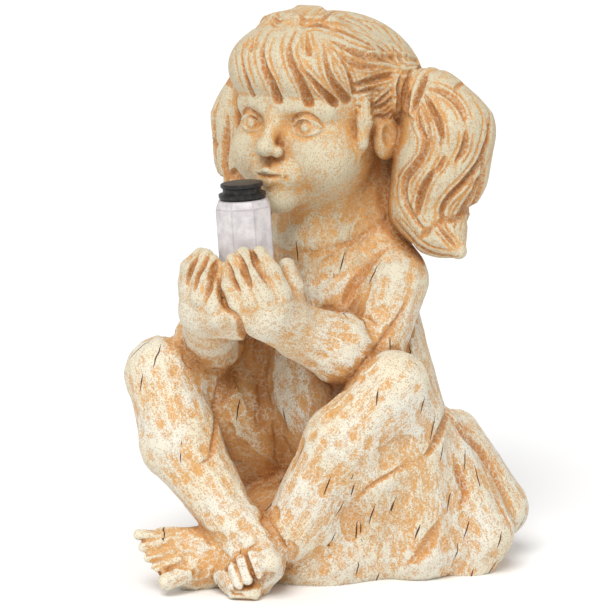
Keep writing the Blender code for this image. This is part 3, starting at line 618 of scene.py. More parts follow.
def far_foot_forms():
    """Her left foot, lying on its side behind the near ankle, toes fanned to the left."""
    core = (-16, -67, 17)
    forms = [
        limb(ANKLES[1], 15, (0, -62, 20), 15, 6),
        limb((0, -62, 20), 15, core, 15, 6),
        limb((-14, -68, 23), 10, (-37, -86, 28.5), 5, 5),
        limb(core, 14, (-31, -84, 22), 7, 5),
        limb(core, 15, (-24, -80.5, 13), 10.5, 5),
        limb((-20, -71.5, 6), 9, (-26, -79.5, 7), 7.5, 4),
    ]
    roots = ((-21, -88, 12), (-24.6, -89.5, 18.5), (-28.4, -89.6, 22.4))
    roots += ((-32, -89.6, 26.1), (-35.5, -88.8, 30))
    tips = ((-27, -97, 8.6), (-33, -98, 15), (-37.5, -98, 19.8), (-41, -97.6, 25), (-44.5, -97, 31))
    sizes = (4.8, 3.0, 2.9, 2.8, 2.8)
    for root, tip, size in zip(roots, tips, sizes):
        forms.append(limb(root, size + 0.6, tip, size, 0.8))
    return forms


def skirt_forms():
    """Cloth over the lap and the heavy folds that spread behind her left knee."""
    return [
        ball((0, -26, 16), (50, 42, 34), 6, TORSO),
        limb((70, 12, 76), 17, (92, 28, 22), 17, 8),
        limb((72, 32, 70), 16, (88, 56, 28), 17, 8),
        limb((92, 28, 22), 16, (84, 28, 4), 16, 6),
        limb((68, -12, 92), 19, (63, 8, 20), 26, 10),
        limb((52, -24, 62), 22, (40, 0, 12), 22, 9),
        limb((30, -36, 34), 16, (22, -10, 6), 17, 8),
        limb((60, 30, 30), 34, (20, 40, 30), 36, 12),
        limb((20, 46, 20), 30, (-22, 32, 18), 30, 10),
    ]


# Hands: every finger stands on a ring round the jar axis
def ring_point(angle, radius, height):
    """Angle from straight ahead, positive toward her left."""
    turn = math.radians(angle)
    ahead = TORSO.to_3x3() @ Vector((0, -1, 0))
    left = TORSO.to_3x3() @ Vector((1, 0, 0))
    spot = Vector(JAR_AT) + (ahead * math.cos(turn) + left * math.sin(turn)) * radius
    spot.z = height
    return spot


FINGER_TIPS = {
    1: ((7, 19.5, 173), (17, 19.5, 177), (33, 19.5, 180), (57, 19.5, 180.5)),
    -1: ((-8, 21, 173), (-16, 22.5, 175.5), (-26, 24, 177.5), (-42, 25, 177)),
}
FINGER_KNUCKLES = {
    1: ((31, 29, 156), (42, 30, 158), (55, 30.5, 160), (72, 30, 162)),
    -1: ((4, 29, 155), (-11, 31, 158), (-28, 32, 161), (-50, 31, 162)),
}
FINGER_SIZES = (3.9, 4.4, 4.7, 4.6)
THUMB_JOINTS = ((112, 22, 150), (112, 23.5, 161), (118, 20, 171.5))


def finger_joints(side, number):
    tip = FINGER_TIPS[side][number]
    knuckle = FINGER_KNUCKLES[side][number]
    middle = [tip[0] * 0.45 + knuckle[0] * 0.55, tip[1] * 0.35 + knuckle[1] * 0.65 + 1.5, 0]
    middle[2] = tip[2] * 0.55 + knuckle[2] * 0.45
    return [ring_point(*tip), ring_point(*middle), ring_point(*knuckle)]


def hand_forms():
    forms = []
    for side in SIDES:
        wrist = Vector(WRISTS[side])
        heel = ring_point(62 if side == 1 else -30, 25, 149)
        pads = [ring_point(a, r - 3.5, z - 5) for a, r, z in FINGER_KNUCKLES[side]]
        forms.append(limb(wrist, 13.5, heel, 12.5, 5))
        forms.append(limb(pads[0], 7.5, heel, 11, 4))
        forms.append(limb(pads[0], 6.5, pads[2], 7.5, 4))
        forms.append(limb(pads[2], 7.5, pads[3], 8, 4))
        forms.append(limb(pads[3], 8, wrist, 13, 4))
        for number in range(4):
            tip, middle, knuckle = finger_joints(side, number)
            size = FINGER_SIZES[number]
            forms.append(limb(knuckle, size + 1.4, middle, size + 0.4, 1.6))
            forms.append(limb(middle, size + 0.4, tip, size - 0.5, 1.2))
        thumb = [ring_point(side * turn, away, height) for turn, away, height in THUMB_JOINTS]
        forms += chain(thumb, (8.5, 5.6, 4.4), 3)
    forms.append(limb(ring_point(20, 16, 146), 11, ring_point(-20, 18, 146), 11, 4))
    return forms


# Head: a plain child's face laid out on its own centre lines, whose front faces minus y
EYE_AT = (16.5, -31.8, -5.0)
EYE_SIZE = 9.3
IRIS_SIZE = 3.9


def face_forms():
    forms = [
        ball((0, 3, 8), (41.5, 47, 42), 6, HEAD),
        ball((0, -10, -18), (35, 33, 33), 9, HEAD),
        ball((0, -16, 12), (35, 31, 26), 7, HEAD),
    ]
    for side in SIDES:
        forms.append(ball((side * 20, -25, -20), (16.5, 15.5, 16), 8, HEAD))
        forms.append(limb((side * 8, -40.5, 4), 4, (side * 25, -33, 4.5), 4.5, 5, HEAD))
        forms.append(ball((side * 16.5, -46, -4.5), (10, 7, 6.5), 4, HEAD, cut=True))
    forms += [
        ball((0, -36, -42), (10, 9.5, 9), 7, HEAD),
        limb((0, -42, 0), 3.2, (0, -49.5, -14), 4.0, 5, HEAD),
        ball((0, -50.5, -16.5), (5.0, 4.6, 4.4), 2.5, HEAD),
        ball((0, -39.5, -30), (13, 8.5, 9.5), 5, HEAD),
    ]
    for side in SIDES:
        forms.append(ball((side * 5, -47, -18), (3.3, 3.8, 3.2), 1.6, HEAD))
        forms.append(limb((0, -48.6, -28.2), 2.0, (side * 7.5, -45.2, -30.2), 1.3, 1.5, HEAD))
        forms.append(limb((0, -47.4, -33.4), 2.6, (side * 6, -45.2, -32.8), 1.5, 1.5, HEAD))
        forms.append(ball((side * EYE_AT[0], EYE_AT[1], EYE_AT[2]), EYE_SIZE, 0.8, HEAD))
    return forms


def ear_forms():
    forms = []
    for side in SIDES:
        lean = (12, side * 8, side * -24)
        forms.append(ball((side * 42.5, -3, -9), (4.8, 8, 12), 2, HEAD, turn=lean))
        bowl = (12, 0, side * -24)
        forms.append(ball((side * 47.5, -6, -8), (3.6, 4.6, 7.5), 1.2, HEAD, turn=bowl, cut=True))
    return forms


def hair_cap_forms():
    """The hair mass, opened over the face and behind the ears."""
    forms = [
        ball((0, 11, 12), (49, 49, 43), 5, HEAD),
        ball((0, -14, 24), (44, 39, 27), 7, HEAD),
    ]
    for side in SIDES:
        forms.append(limb((side * 38, 8, 18), 15, (side * 52, 14, 14), 9.5, 6, HEAD))
    forms.append(limb((0, 18, -12), 31, (0, 14, -34), 22, 8, HEAD))
    forms.append(block((0, -48, -37), (37, 40, 45), 12, 1.5, HEAD, cut=True))
    for side in SIDES:
        forms.append(ball((side * 53, -6, -25), (19, 27, 29), 2.0, HEAD, cut=True))
    for side in SIDES:
        lock = [(38.5, -21, 12), (39.5, -19.5, 0), (38, -19, -12), (35, -18, -21)]
        lock = [(side * x, y, z) for x, y, z in lock]
        forms += chain(lock, (4, 4.2, 3.2, 1.4), 2.5, HEAD)
    return forms


FRINGE_LOCKS = 9


def fringe_line(number, shift=0.0):
    """Direction angles of one fringe lock, from the crown to its tip."""
    share = (number + shift) / (FRINGE_LOCKS - 1)
    spread = -66 + 130 * share
    sweep = 7 + 7 * share
    steps = ((0.30, 66, 0), (0.62, 50, -5), (0.90, 31, -3), (1.0, 11, sweep))
    return [(spread * wide + bend, rise) for wide, rise, bend in steps]


def head_direction(turn, rise):
    turn, rise = math.radians(turn), math.radians(rise)
    flat = Vector((math.sin(turn) * math.cos(rise), -math.cos(turn) * math.cos(rise), math.sin(rise)))
    return HEAD.to_3x3() @ flat


HAIR_CENTRE = HEAD @ Vector((0, 2, 10))
HAIR_REACH = 55.0


def fringe_forms():
    """Lens-shaped locks that hang over the brow."""
    forms = []
    for number in range(FRINGE_LOCKS):
        reach = (49, 48.5, 46.5, 46.5)
        spots = []
        for (turn, rise), away in zip(fringe_line(number), reach):
            wide = Vector((1.0, 0.93, 1.0))
            arrow = head_direction(turn, rise)
            spots.append(HAIR_CENTRE + Vector(a * b for a, b in zip(arrow, wide)) * away)
        forms += chain(spots, (2.0, 5.2, 5.6, 2.2), 2.0)
    return forms


PIGTAIL_SPREAD = {1: (48, 58, 65, 62, 57, 66, 80), -1: (44, 49, 52, 50, 45, 47, 55)}
PIGTAIL_BACK = {1: (14, 17, 20, 21, 20, 18, 15), -1: (11, 14, 17, 18, 18, 17, 17)}
PIGTAIL_HEIGHTS = (14, 11, -5, -26, -45, -57, -66)


def pigtail_path(side):
    """Centre line and thickness of one pigtail, root to tip."""
    points = zip(PIGTAIL_SPREAD[side], PIGTAIL_BACK[side], PIGTAIL_HEIGHTS)
    radii = (9, 14.5, 24, 23.5, 19, 12, 4)
    return [HEAD @ Vector((side * x, y, z)) for x, y, z in points], radii


def pigtail_forms():
    forms = []
    for side in SIDES:
        points, radii = pigtail_path(side)
        forms += chain(points, radii, 3, inner=9)
    return forms


def crown_forms():
    """Two small knots of hair on top of the head."""
    return [
        ball((-13, -19, 49), (6, 4.5, 4), 2, HEAD),
        ball((-1, -10, 53.5), (4.5, 3.5, 3.6), 2, HEAD),
    ]


def figure_clay():
    """Groups of forms, each with the softness of its seam to the ones before."""
    skin = torso_forms() + arm_forms()
    return [
        (0.1, skin),
        (4.0, leg_forms() + skirt_forms()),
        (4.0, far_foot_forms()),
        (2.5, near_foot_forms()),
        (2.0, hand_forms()),
        (5.0, face_forms() + ear_forms()),
        (1.0, hair_cap_forms() + fringe_forms() + crown_forms()),
        (1.5, pigtail_forms()),
    ]


# Carving on the side that the camera sees: picture points, width in pixels, depth in millimetres
FRINGE_CUTS = (
    (((244, 44), (242, 61), (246, 78), (252, 93)), 6, 2.4),
    (((254, 38), (251, 49)), 4, 1.2),
    (((269, 33), (262, 50), (264, 67), (271, 83), (277, 97)), 9, 3.2),
    (((296, 31), (289, 47), (292, 64), (301, 83), (308, 100)), 9, 3.2),
    (((307, 33), (309, 52)), 5, 1.6),
    (((295, 61), (310, 78), (321, 90), (333, 102)), 7, 2.8),
    (((324, 45), (327, 66), (334, 83), (345, 98)), 8, 3.0),
    (((328, 42), (344, 63), (354, 92)), 4, 2.0),
)
SWEEP_CUTS = (
    (((334, 29), (355, 37), (375, 47)), 5, 2.2),
    (((345, 15), (360, 21), (375, 33)), 3.5, 1.6),
    (((376, 44), (386, 53), (396, 62)), 4, 1.8),
    (((331, 41), (353, 51), (371, 57), (389, 63)), 8, 2.6),
    (((338, 53), (355, 64), (369, 67), (380, 67)), 7, 2.4),
    (((349, 86), (367, 82), (381, 78), (396, 73)), 8, 2.8),
    (((354, 94), (369, 90), (385, 91)), 5, 1.8),
    (((355, 105), (373, 105), (382, 99), (393, 88)), 4, 1.8),
    (((371, 113), (383, 106), (395, 96)), 5, 2.0),
    (((371, 120), (386, 116), (394, 108)), 4, 1.8),
    (((310, 22), (324, 18), (339, 18), (352, 24)), 5, 1.6),
    (((302, 28), (318, 25), (337, 32)), 3.5, 1.4),
    (((316, 14), (339, 11), (362, 14), (381, 25), (390, 35)), 4, 1.4),
    (((381, 20), (394, 32), (402, 45)), 3.5, 1.4),
    (((393, 46), (399, 56), (404, 66)), 5, 2.0),
    (((272, 16), (278, 22), (284, 20)), 4, 1.2),
    (((300, 14), (304, 20), (314, 18)), 4, 1.2),
)
TIE_CUTS = (
    (((399, 75), (397, 88), (399, 101)), 4, 2.0),
    (((410, 71), (406, 86), (403, 103), (400, 113)), 5, 2.6),
    (((412, 90), (409, 103), (410, 113)), 4, 2.0),
    (((428, 73), (422, 86), (416, 103), (413, 113)), 6, 2.8),
    (((415, 72), (421, 67), (428, 67)), 4, 1.6),
)
PIGTAIL_CUTS = (
    (((424, 94), (433, 110), (439, 123), (442, 138), (440, 147)), 7, 3.0),
    (((428, 89), (443, 92), (454, 99), (463, 112), (465, 124)), 8, 2.2),
    (((466, 130), (464, 149), (455, 163)), 7, 2.4),
    (
        ((477, 91), (488, 110), (490, 125), (486, 145), (480, 162))
        + ((467, 180), (451, 196), (443, 208), (443, 220), (449, 232)),
        8,
        3.2,
    ),
    (((486, 93), (493, 103), (498, 114)), 4, 1.6),
    (((487, 167), (477, 185), (467, 201), (459, 214), (454, 230)), 5, 2.2),
    (((436, 167), (425, 185), (420, 199), (416, 218)), 8, 3.2),
    (((446, 155), (440, 167), (434, 174)), 5, 1.6),
    (
        ((418, 104), (418, 122), (424, 138), (423, 154), (414, 167))
        + ((405, 180), (404, 196), (409, 209), (418, 223), (428, 233)),
        8,
        2.6,
    ),
    (((421, 107), (427, 120), (429, 135), (427, 150), (420, 166)), 4, 1.6),
    (((394, 218), (408, 235), (420, 247), (440, 255), (459, 257)), 5, 1.6),
    (((437, 225), (448, 238), (457, 248)), 4, 1.6),
)
HAND_CUTS = (
    (((227, 261), (233, 281), (241, 296)), 6.5, 3.4),
    (((238, 253), (246, 275), (251, 289)), 6.5, 3.4),
    (((251, 250), (258, 267), (267, 284)), 6.5, 3.4),
    (((199, 253), (190, 271), (187, 284)), 5.5, 3.0),
    (((209, 255), (198, 273), (194, 292)), 6.5, 3.4),
    (((217, 260), (211, 281), (206, 301)), 8, 3.4),
    (((220, 280), (225, 304), (240, 325), (262, 347)), 8, 2.4),
)
CLOTH_CUTS = (
    (((389, 247), (367, 267), (352, 288), (338, 312)), 11, 2.4),
    (((409, 298), (396, 321), (378, 346), (370, 360)), 6, 2.0),
    (((446, 409), (444, 426), (436, 444), (423, 459)), 14, 3.2),
    (((426, 457), (401, 468), (376, 483), (360, 496), (344, 512)), 5, 1.5),
    (((455, 459), (461, 479), (466, 494), (460, 510)), 10, 2.8),
    (((440, 519), (433, 536), (423, 552), (408, 564)), 15, 2.2),
    (((449, 414), (463, 433), (479, 449), (489, 464), (499, 483), (506, 499)), 12, 3.4),
    (((484, 467), (494, 489), (506, 516), (512, 537)), 5, 1.6),
    (((444, 405), (459, 421), (476, 433)), 4, 1.4),
)


# A groove on the seen side: its reach and depth as shares of those listed, and its sharpness
SEEN_WIDTH = 0.66
SEEN_DEPTH = 1.15
SEEN_SHARP = 0.8

# Fine strands beside a groove: gap and width in pixels, depth in millimetres
STRAND_GAP = 3.2
STRAND_WIDTH = 2.6
STRAND_DEPTH = 0.7


def carve_seen(chisel, cuts, taper=spindle):
    """Grooves along picture points, where at least two of them meet the skin."""
    for path, width, depth in cuts:
        spots = [spot for spot in map(chisel.seen, path) if spot is not None]
        if len(spots) > 1:
            half = SEEN_WIDTH * width / PIXELS_PER_MM
            chisel.stroke(spots, half, SEEN_DEPTH * depth, taper, SEEN_SHARP)


def beside(path, gap):
    """A line of picture points that runs to one side of another."""
    moved = []
    for before, spot, after in zip((path[0],) + path, path, path[1:] + (path[-1],)):
        along = (Vector(after) - Vector(before)).normalized()
        moved.append((spot[0] - along.y * gap, spot[1] + along.x * gap))
    return tuple(moved)


def carve_strands(chisel, cuts):
    """Fine strands on both sides of the deep cuts."""
    fine = []
    for path, width, _ in cuts:
        gap = 0.5 * width + STRAND_GAP
        fine += [(beside(path, side * gap), STRAND_WIDTH, STRAND_DEPTH) for side in (-1, 1)]
    carve_seen(chisel, fine)


# Carving on the hidden sides

# Rows of hair: width and depth in millimetres, sharpness, and the lean that cloth shares
HIDDEN_WIDTH = 3.2
HIDDEN_DEPTH = 2.0
HIDDEN_SHARP = 0.9
ROW_LEAN = 0.3


def placed(frame, points):
    return [frame @ Vector(p) for p in points]


def hair_skin(chisel, line):
    """The outer skin of the hair in each of the directions from its centre."""
    return [chisel.toward(HAIR_CENTRE, head_direction(turn, rise)) for turn, rise in line]


def hair_ball(line):
    """Points on a ball round the hair's centre, for a groove that snaps to the skin."""
    return [HAIR_CENTRE + head_direction(turn, rise) * HAIR_REACH for turn, rise in line]


def carve_fringe(chisel):
    for number in range(2):
        spots = hair_skin(chisel, fringe_line(number, -0.5))
        chisel.stroke(spots, 3.4, 2.6, even, 1.2, lean=ROW_LEAN)


def sweep_line(side, share):
    """One groove of the side hair, drawn back to the tie."""
    start = (24 + 38 * share, 66 - 64 * share)
    bend = (58 + 14 * share, 50 - 48 * share)
    end = (94, 16 - 14 * share)
    return [(side * turn, rise) for turn, rise in (start, bend, end)]


def carve_sweeps(chisel):
    rows = 9
    for row in range(rows):
        spots = hair_skin(chisel, sweep_line(-1, row / (rows - 1)))
        chisel.stroke(spots, HIDDEN_WIDTH, 2.4, spindle, HIDDEN_SHARP, lean=ROW_LEAN)


def carve_crown(chisel):
    """Hair drawn down from the crown to her right tie."""
    for row in range(5):
        start = (-30 - 16 * row, 78 - 0.7 * row)
        bend = (-62 - 10 * row, 58 - 4.7 * row)
        end = (-98 - 3.5 * row, 26 - 5.6 * row)
        spots = hair_ball((start, bend, end))
        chisel.stroke(spots, HIDDEN_WIDTH, HIDDEN_DEPTH, spindle, HIDDEN_SHARP, lean=ROW_LEAN)


def carve_parting(chisel):
    """The parting down the back of the head, and the hair drawn from it to each tie."""
    line = hair_ball([(180, rise) for rise in (72, 35, 0, -38)])
    chisel.stroke(line, 3.0, 2.4, even, HIDDEN_SHARP)
    for side in SIDES:
        for row in range(8):
            rise = 66 - 14 * row
            steps = ((173, rise), (147, 0.75 * rise - 3), (122, 0.4 * rise))
            spots = hair_ball([(side * turn, lift) for turn, lift in steps])
            chisel.stroke(spots, HIDDEN_WIDTH, HIDDEN_DEPTH, spindle, HIDDEN_SHARP, lean=ROW_LEAN)


# Pigtail grooves: rows, steps down each and sway in radians; ties: bands, start and spacing
PIGTAIL_ROWS = 13
PIGTAIL_STEPS = 8
PIGTAIL_SWAY = 0.28
TIE_BANDS = 3
TIE_START = 45.5
TIE_SPACING = 4.4


def pigtail_arrow(path, index, turn):
    """Outward from the pigtail's centre line, at a turn about it."""
    axis = (path[index + 1] - path[index]).normalized()
    across = axis.cross(HEAD.to_3x3() @ Vector((0, 1, 0))).normalized()
    return across * math.cos(turn) + axis.cross(across) * math.sin(turn)


def pigtail_row_hidden(path, row):
    """Whether a groove lies on the far side of the pigtail from the camera."""
    arrow = pigtail_arrow(path, len(path) // 2, math.tau * row / PIGTAIL_ROWS)
    return arrow.dot(VIEW_SPOT.normalized()) < -0.1


def carve_pigtails(chisel):
    """Long S-shaped grooves that follow each pigtail down to its tip."""
    for side in SIDES:
        points, _ = pigtail_path(side)
        path = smooth_path(points, 3.0)
        for row in range(PIGTAIL_ROWS):
            if side == 1 and not pigtail_row_hidden(path, row):
                continue
            begin, stop = (0.16, 0.93) if row % 2 else (0.24, 0.8)
            spots = []
            for k in range(PIGTAIL_STEPS + 1):
                share = begin + (stop - begin) * k / PIGTAIL_STEPS
                index = min(int(share * (len(path) - 1)), len(path) - 2)
                sway = PIGTAIL_SWAY * math.sin(5.2 * share) * side
                arrow = pigtail_arrow(path, index, math.tau * row / PIGTAIL_ROWS + sway)
                spots.append(chisel.toward(path[index], arrow, 34.0))
            chisel.stroke(spots, 3.6, 2.9, spindle, HIDDEN_SHARP, lean=0.35)


def carve_ties(chisel):
    """Raised bands round the root of each pigtail."""
    for side in SIDES:
        for band in range(TIE_BANDS):
            along = TIE_START + TIE_SPACING * band
            spots = []
            for k in range(13):
                turn = math.tau * k / 12
                arrow = HEAD.to_3x3() @ Vector((0.12 * side, math.cos(turn), math.sin(turn)))
                spots.append(chisel.toward(HEAD @ Vector((side * along, 14, 14)), arrow, 22.0))
            chisel.stroke(spots, 2.2, -1.7, even, SMOOTH_EDGE)


def eye_arc(side, rise, wide=9.0, shift=0.0):
    spots = []
    for k in range(7):
        across = -1 + 2 * k / 6
        height = EYE_AT[2] + shift + rise * (1 - across * across)
        depth = EYE_AT[1] - 9.0 + 3.4 * across * across + 1.2 * across * side
        spots.append(HEAD @ Vector((side * EYE_AT[0] + wide * across, depth, height)))
    return spots


def iris_ring(side):
    ring = []
    for k in range(13):
        turn = math.tau * k / 12
        rise = EYE_AT[2] + 0.2 + IRIS_SIZE * math.sin(turn)
        ring.append((side * EYE_AT[0] + IRIS_SIZE * math.cos(turn), -42.0, rise))
    return placed(HEAD, ring)


def carve_face(chisel):
    """Lids, brows, irises, nostrils and mouth; each row is a path, width, depth and taper."""
    rows = []
    for side in SIDES:
        nostril = placed(HEAD, [(side * 2.6, -49.0, -20.8), (side * 3.6, -46.6, -21.0)])
        corner = placed(HEAD, [(side * 8.2, -45, -30.0), (side * 9.6, -43.5, -31.8)])
        rows += [
            (eye_arc(side, 4.6), 1.8, -1.4, even),
            (eye_arc(side, -3.9), 1.6, -1.0, even),
            (eye_arc(side, 7.2, 9.5, 1.0), 1.7, 1.2, spindle),
            (iris_ring(side), 1.1, 0.8, even),
            (nostril, 1.4, 1.2, even),
            (corner, 1.8, 1.1, even),
        ]
    mouth = [(x, -48.5 + 0.05 * x * x, -31.0 + 0.012 * x * x) for x in (-8, -4, 0, 4, 8)]
    rows.append((placed(HEAD, mouth), 1.3, 1.3, even))
    rows.append((placed(HEAD, [(0, -47.0, -21.5), (0, -48.0, -26.0)]), 1.6, 0.6, even))
    for path, width, depth, taper in rows:
        chisel.stroke(path, width, depth, taper, SMOOTH_EDGE)


def carve_dress(chisel):
    """Neckline, armholes and the large folds."""
    neck = []
    for k in range(17):
        turn = math.tau * k / 16
        across, ahead = math.sin(turn), math.cos(turn)
        neck.append(TORSO @ Vector((27 * across, 3 - 30 * ahead, 186 - 12 * ahead)))
    chisel.stroke(neck, 3.2, 1.4, even, 1.2, lean=0.4)
    front = [(-33, -18, 168), (-27, -24, 152), (-25, -30, 136), (-27, -32, 124)]
    chisel.stroke(placed(TORSO, front), 4.0, 2.4, spindle, 1.2)
    for side in SIDES:
        back = [(side * 36, 20, 166), (side * 33, 29, 150), (side * 36, 33, 132)]
        chisel.stroke(placed(TORSO, back), 4.0, 2.2, spindle, 1.2)
    rear = [(72, 62, 76), (88, 78, 42), (92, 82, 10)]
    chisel.stroke(rear, 5.0, 3.0, spindle, 1.0, lean=ROW_LEAN)
    for number in range(5):
        spread = -40 + 20 * number
        high = 88 - 14 * (number % 2)
        line = [(spread * 0.7, 56, high), (spread * 1.0, 66, 50), (spread * 1.2, 76, 12)]
        chisel.stroke(placed(TORSO, line), 8.0, 3.0, spindle, 1.3, lean=ROW_LEAN)


def carve_hem(chisel):
    """The edge of the dress round her right thigh, and the pull of the cloth above it."""
    hip = TORSO @ Vector((-26, 6, 44))
    knee = Vector(KNEES[-1])
    axis = (knee - hip).normalized()
    up = (Vector((0, 0, 1)) - axis * axis.z).normalized()
    side = axis.cross(up)
    ring = []
    for k in range(11):
        turn = math.radians(-15 - 21 * k)
        arrow = up * math.cos(turn) + side * math.sin(turn)
        share = HEM_SHARE + 0.19 + 0.03 * math.cos(3 * turn)
        ring.append(chisel.toward(hip.lerp(knee, share), arrow, 60.0))
    chisel.stroke(ring, 6.0, 2.4, even, 1.3, lean=0.5)
    for k in range(5):
        turn = math.radians(-40 - 36 * k)
        arrow = up * math.cos(turn) + side * math.sin(turn)
        line = [chisel.toward(hip.lerp(knee, share), arrow, 70.0) for share in (0.62, 0.34, 0.05)]
        chisel.stroke(line, 5.5, 2.2, spindle, 1.3, lean=ROW_LEAN)


def carve(made):
    chisel = Chisel(made)
    carve_seen(chisel, FRINGE_CUTS, widening)
    for cuts in (SWEEP_CUTS, TIE_CUTS, PIGTAIL_CUTS, HAND_CUTS, CLOTH_CUTS):
        carve_seen(chisel, cuts)
    for cuts in (FRINGE_CUTS, SWEEP_CUTS, PIGTAIL_CUTS):
        carve_strands(chisel, cuts)
    hair = (carve_fringe, carve_sweeps, carve_crown, carve_parting, carve_pigtails, carve_ties)
    for part in (*hair, carve_face, carve_dress, carve_hem):
        part(chisel)
    return chisel


# Pieces
def decimate(made, triangles):
    step = made.modifiers.new("Thin", "DECIMATE")
    count = sum(len(face.vertices) - 2 for face in made.data.polygons)
    step.ratio = min(1.0, triangles / count)
    step.use_collapse_triangulate = True
    apply_modifiers(made)


def jar_frame():
    toward = math.radians(JAR_LEAN_TOWARD)
    axis = Vector((-math.sin(toward), math.cos(toward), 0))
    lean = Matrix.Rotation(math.radians(JAR_LEAN), 4, axis)
    return Matrix.Translation(JAR_AT) @ lean @ Matrix.Rotation(math.radians(JAR_TURN), 4, "Z")


def lathe(name, profile, sides, frame, turn=0.0):
    """Closed solid spun from (radius, height) pairs; zero radius ends close on the axis."""
    bm = bmesh.new()
    rings = []
    for radius, height in profile:
        if radius <= 0.0:
            rings.append([bm.verts.new((0, 0, height))])
            continue
        ring = []
        for k in range(sides):
            angle = math.tau * (k + 0.5) / sides + turn
            ring.append(bm.verts.new((radius * math.cos(angle), radius * math.sin(angle), height)))
        rings.append(ring)
    for low, high in zip(rings, rings[1:]):
        for k in range(sides):
            j = (k + 1) % sides
            if len(low) == 1:
                bm.faces.new((low[0], high[j], high[k]))
            elif len(high) == 1:
                bm.faces.new((low[k], low[j], high[0]))
            else:
                bm.faces.new((low[k], low[j], high[j], high[k]))
    bmesh.ops.recalc_face_normals(bm, faces=bm.faces)
    bm.transform(frame)
    return object_from_bmesh(name, bm)


def corner_radius(flats):
    return flats / 2 / math.cos(math.pi / 8)


def jar_profile():
    outer = corner_radius(JAR_FLATS)
    inner = outer - JAR_WALL
    mouth = corner_radius(JAR_MOUTH)
    return [
        (0, 0),
        (outer - JAR_BEVEL, 0),
        (outer, JAR_BEVEL),
        (outer, JAR_HEIGHT - JAR_SHOULDER),
        (mouth + JAR_LIP, JAR_HEIGHT),
        (mouth, JAR_HEIGHT),
        (mouth, JAR_HEIGHT - 2.6),
        (inner, JAR_HEIGHT - JAR_SHOULDER - 1.6),
        (inner, JAR_FLOOR),
        (0, JAR_FLOOR),
    ]


def boolean_cut(made, tool):
    step = made.modifiers.new("Cut", "BOOLEAN")
    step.operation = "DIFFERENCE"
    step.solver = "EXACT"
    step.object = tool
    apply_modifiers(made)


# Cutters: the slab under the ground, the pocket's room in gaps and its rise over the jar
GROUND_SIDE = 400
GROUND_DEPTH = 60
POCKET_ROOM = 1.1
POCKET_RISE = 12


def ground_cutter():
    bm = bmesh.new()
    slab = Matrix.Translation((0, 0, -GROUND_DEPTH / 2))
    slab = slab @ Matrix.Diagonal((GROUND_SIDE, GROUND_SIDE, GROUND_DEPTH, 1))
    bmesh.ops.create_cube(bm, size=1.0, matrix=slab)
    return object_from_bmesh("cut_ground", bm)


def pocket_cutter():
    outer = corner_radius(JAR_FLATS) + PIECE_GAP * POCKET_ROOM
    top = JAR_HEIGHT + POCKET_RISE
    profile = [(0, -PIECE_GAP), (outer, -PIECE_GAP), (outer, top), (0, top)]
    return lathe("cut_pocket", profile, 8, jar_frame())


def stopper_profile():
    plug, flange, cap = STOPPER_PLUG / 2, STOPPER_FLANGE / 2, STOPPER_CAP / 2
    top = JAR_HEIGHT + PIECE_GAP
    return [
        (0, JAR_HEIGHT - STOPPER_DEPTH),
        (plug, JAR_HEIGHT - STOPPER_DEPTH),
        (plug, top),
        (flange - 1.0, top),
        (flange, top + 1.0),
        (flange, top + 2.8),
        (cap - 1.0, top + 3.4),
        (cap - 1.0, top + 5.6),
        (cap, top + 6.2),
        (cap, top + 7.8),
        (cap - 0.6, top + 8.2),
        (0, top + 8.2),
    ]


# Facets: flat knife cuts left all over the body
FACET_SPACING = 7.0
FACET_REACH = 6.6
FACET_STRETCH = 1.8

# Shelter, in millimetres: how far each layer looks and how far off the skin a ray starts
WIDE_SHELTER = 34.0
NEAR_SHELTER = 7.0
SHELTER_START = 0.8

# Rays from each point, and the turn in radians from one to the next
SHELTER_RAYS = 14
GOLDEN_TURN = 2.39996

# The bend of the skin that counts as a full edge, in millimetres
SHARP_BEND = 0.16


def scatter(points, allowed, spacing, seed):
    """Seeded picks among the allowed points, at least the spacing apart."""
    order = np.random.default_rng(seed).permutation(np.flatnonzero(allowed))
    taken = {}
    picks = []
    for index in order:
        spot = points[index]
        cell = tuple((spot // spacing).astype(int))
        clear = True
        for dx in (-1, 0, 1):
            for dy in (-1, 0, 1):
                for dz in (-1, 0, 1):
                    for other in taken.get((cell[0] + dx, cell[1] + dy, cell[2] + dz), ()):
                        if ((points[other] - spot) ** 2).sum() < spacing * spacing:
                            clear = False
        if clear:
            taken.setdefault(cell, []).append(index)
            picks.append(index)
    return np.array(picks)


def smooth_step(low, high, value):
    t = np.clip((value - low) / (high - low), 0.0, 1.0)
    return t * t * (3.0 - 2.0 * t)


def grain_axes(spots):
    """The way the tool ran at each point: along the limb that it lies on, or upright."""
    forms = [form for _, group in figure_clay() for form in group if form["kind"] == "limb"]
    best = np.full(len(spots), 9.0)
    axes = np.tile((0.15, 0.0, 0.99), (len(spots), 1))
    for form in forms:
        away = np.abs(form_distance(form, spots))
        closer = away < best
        best[closer] = away[closer]
        axes[closer] = form["axis"]
    return axes / np.maximum(np.linalg.norm(axes, axis=1), TINY)[:, None]


def grain_lines(spots, facing):
    lines = grain_axes(spots)
    lines -= facing * (lines * facing).sum(1)[:, None]
    return lines / np.maximum(np.linalg.norm(lines, axis=1), TINY)[:, None]


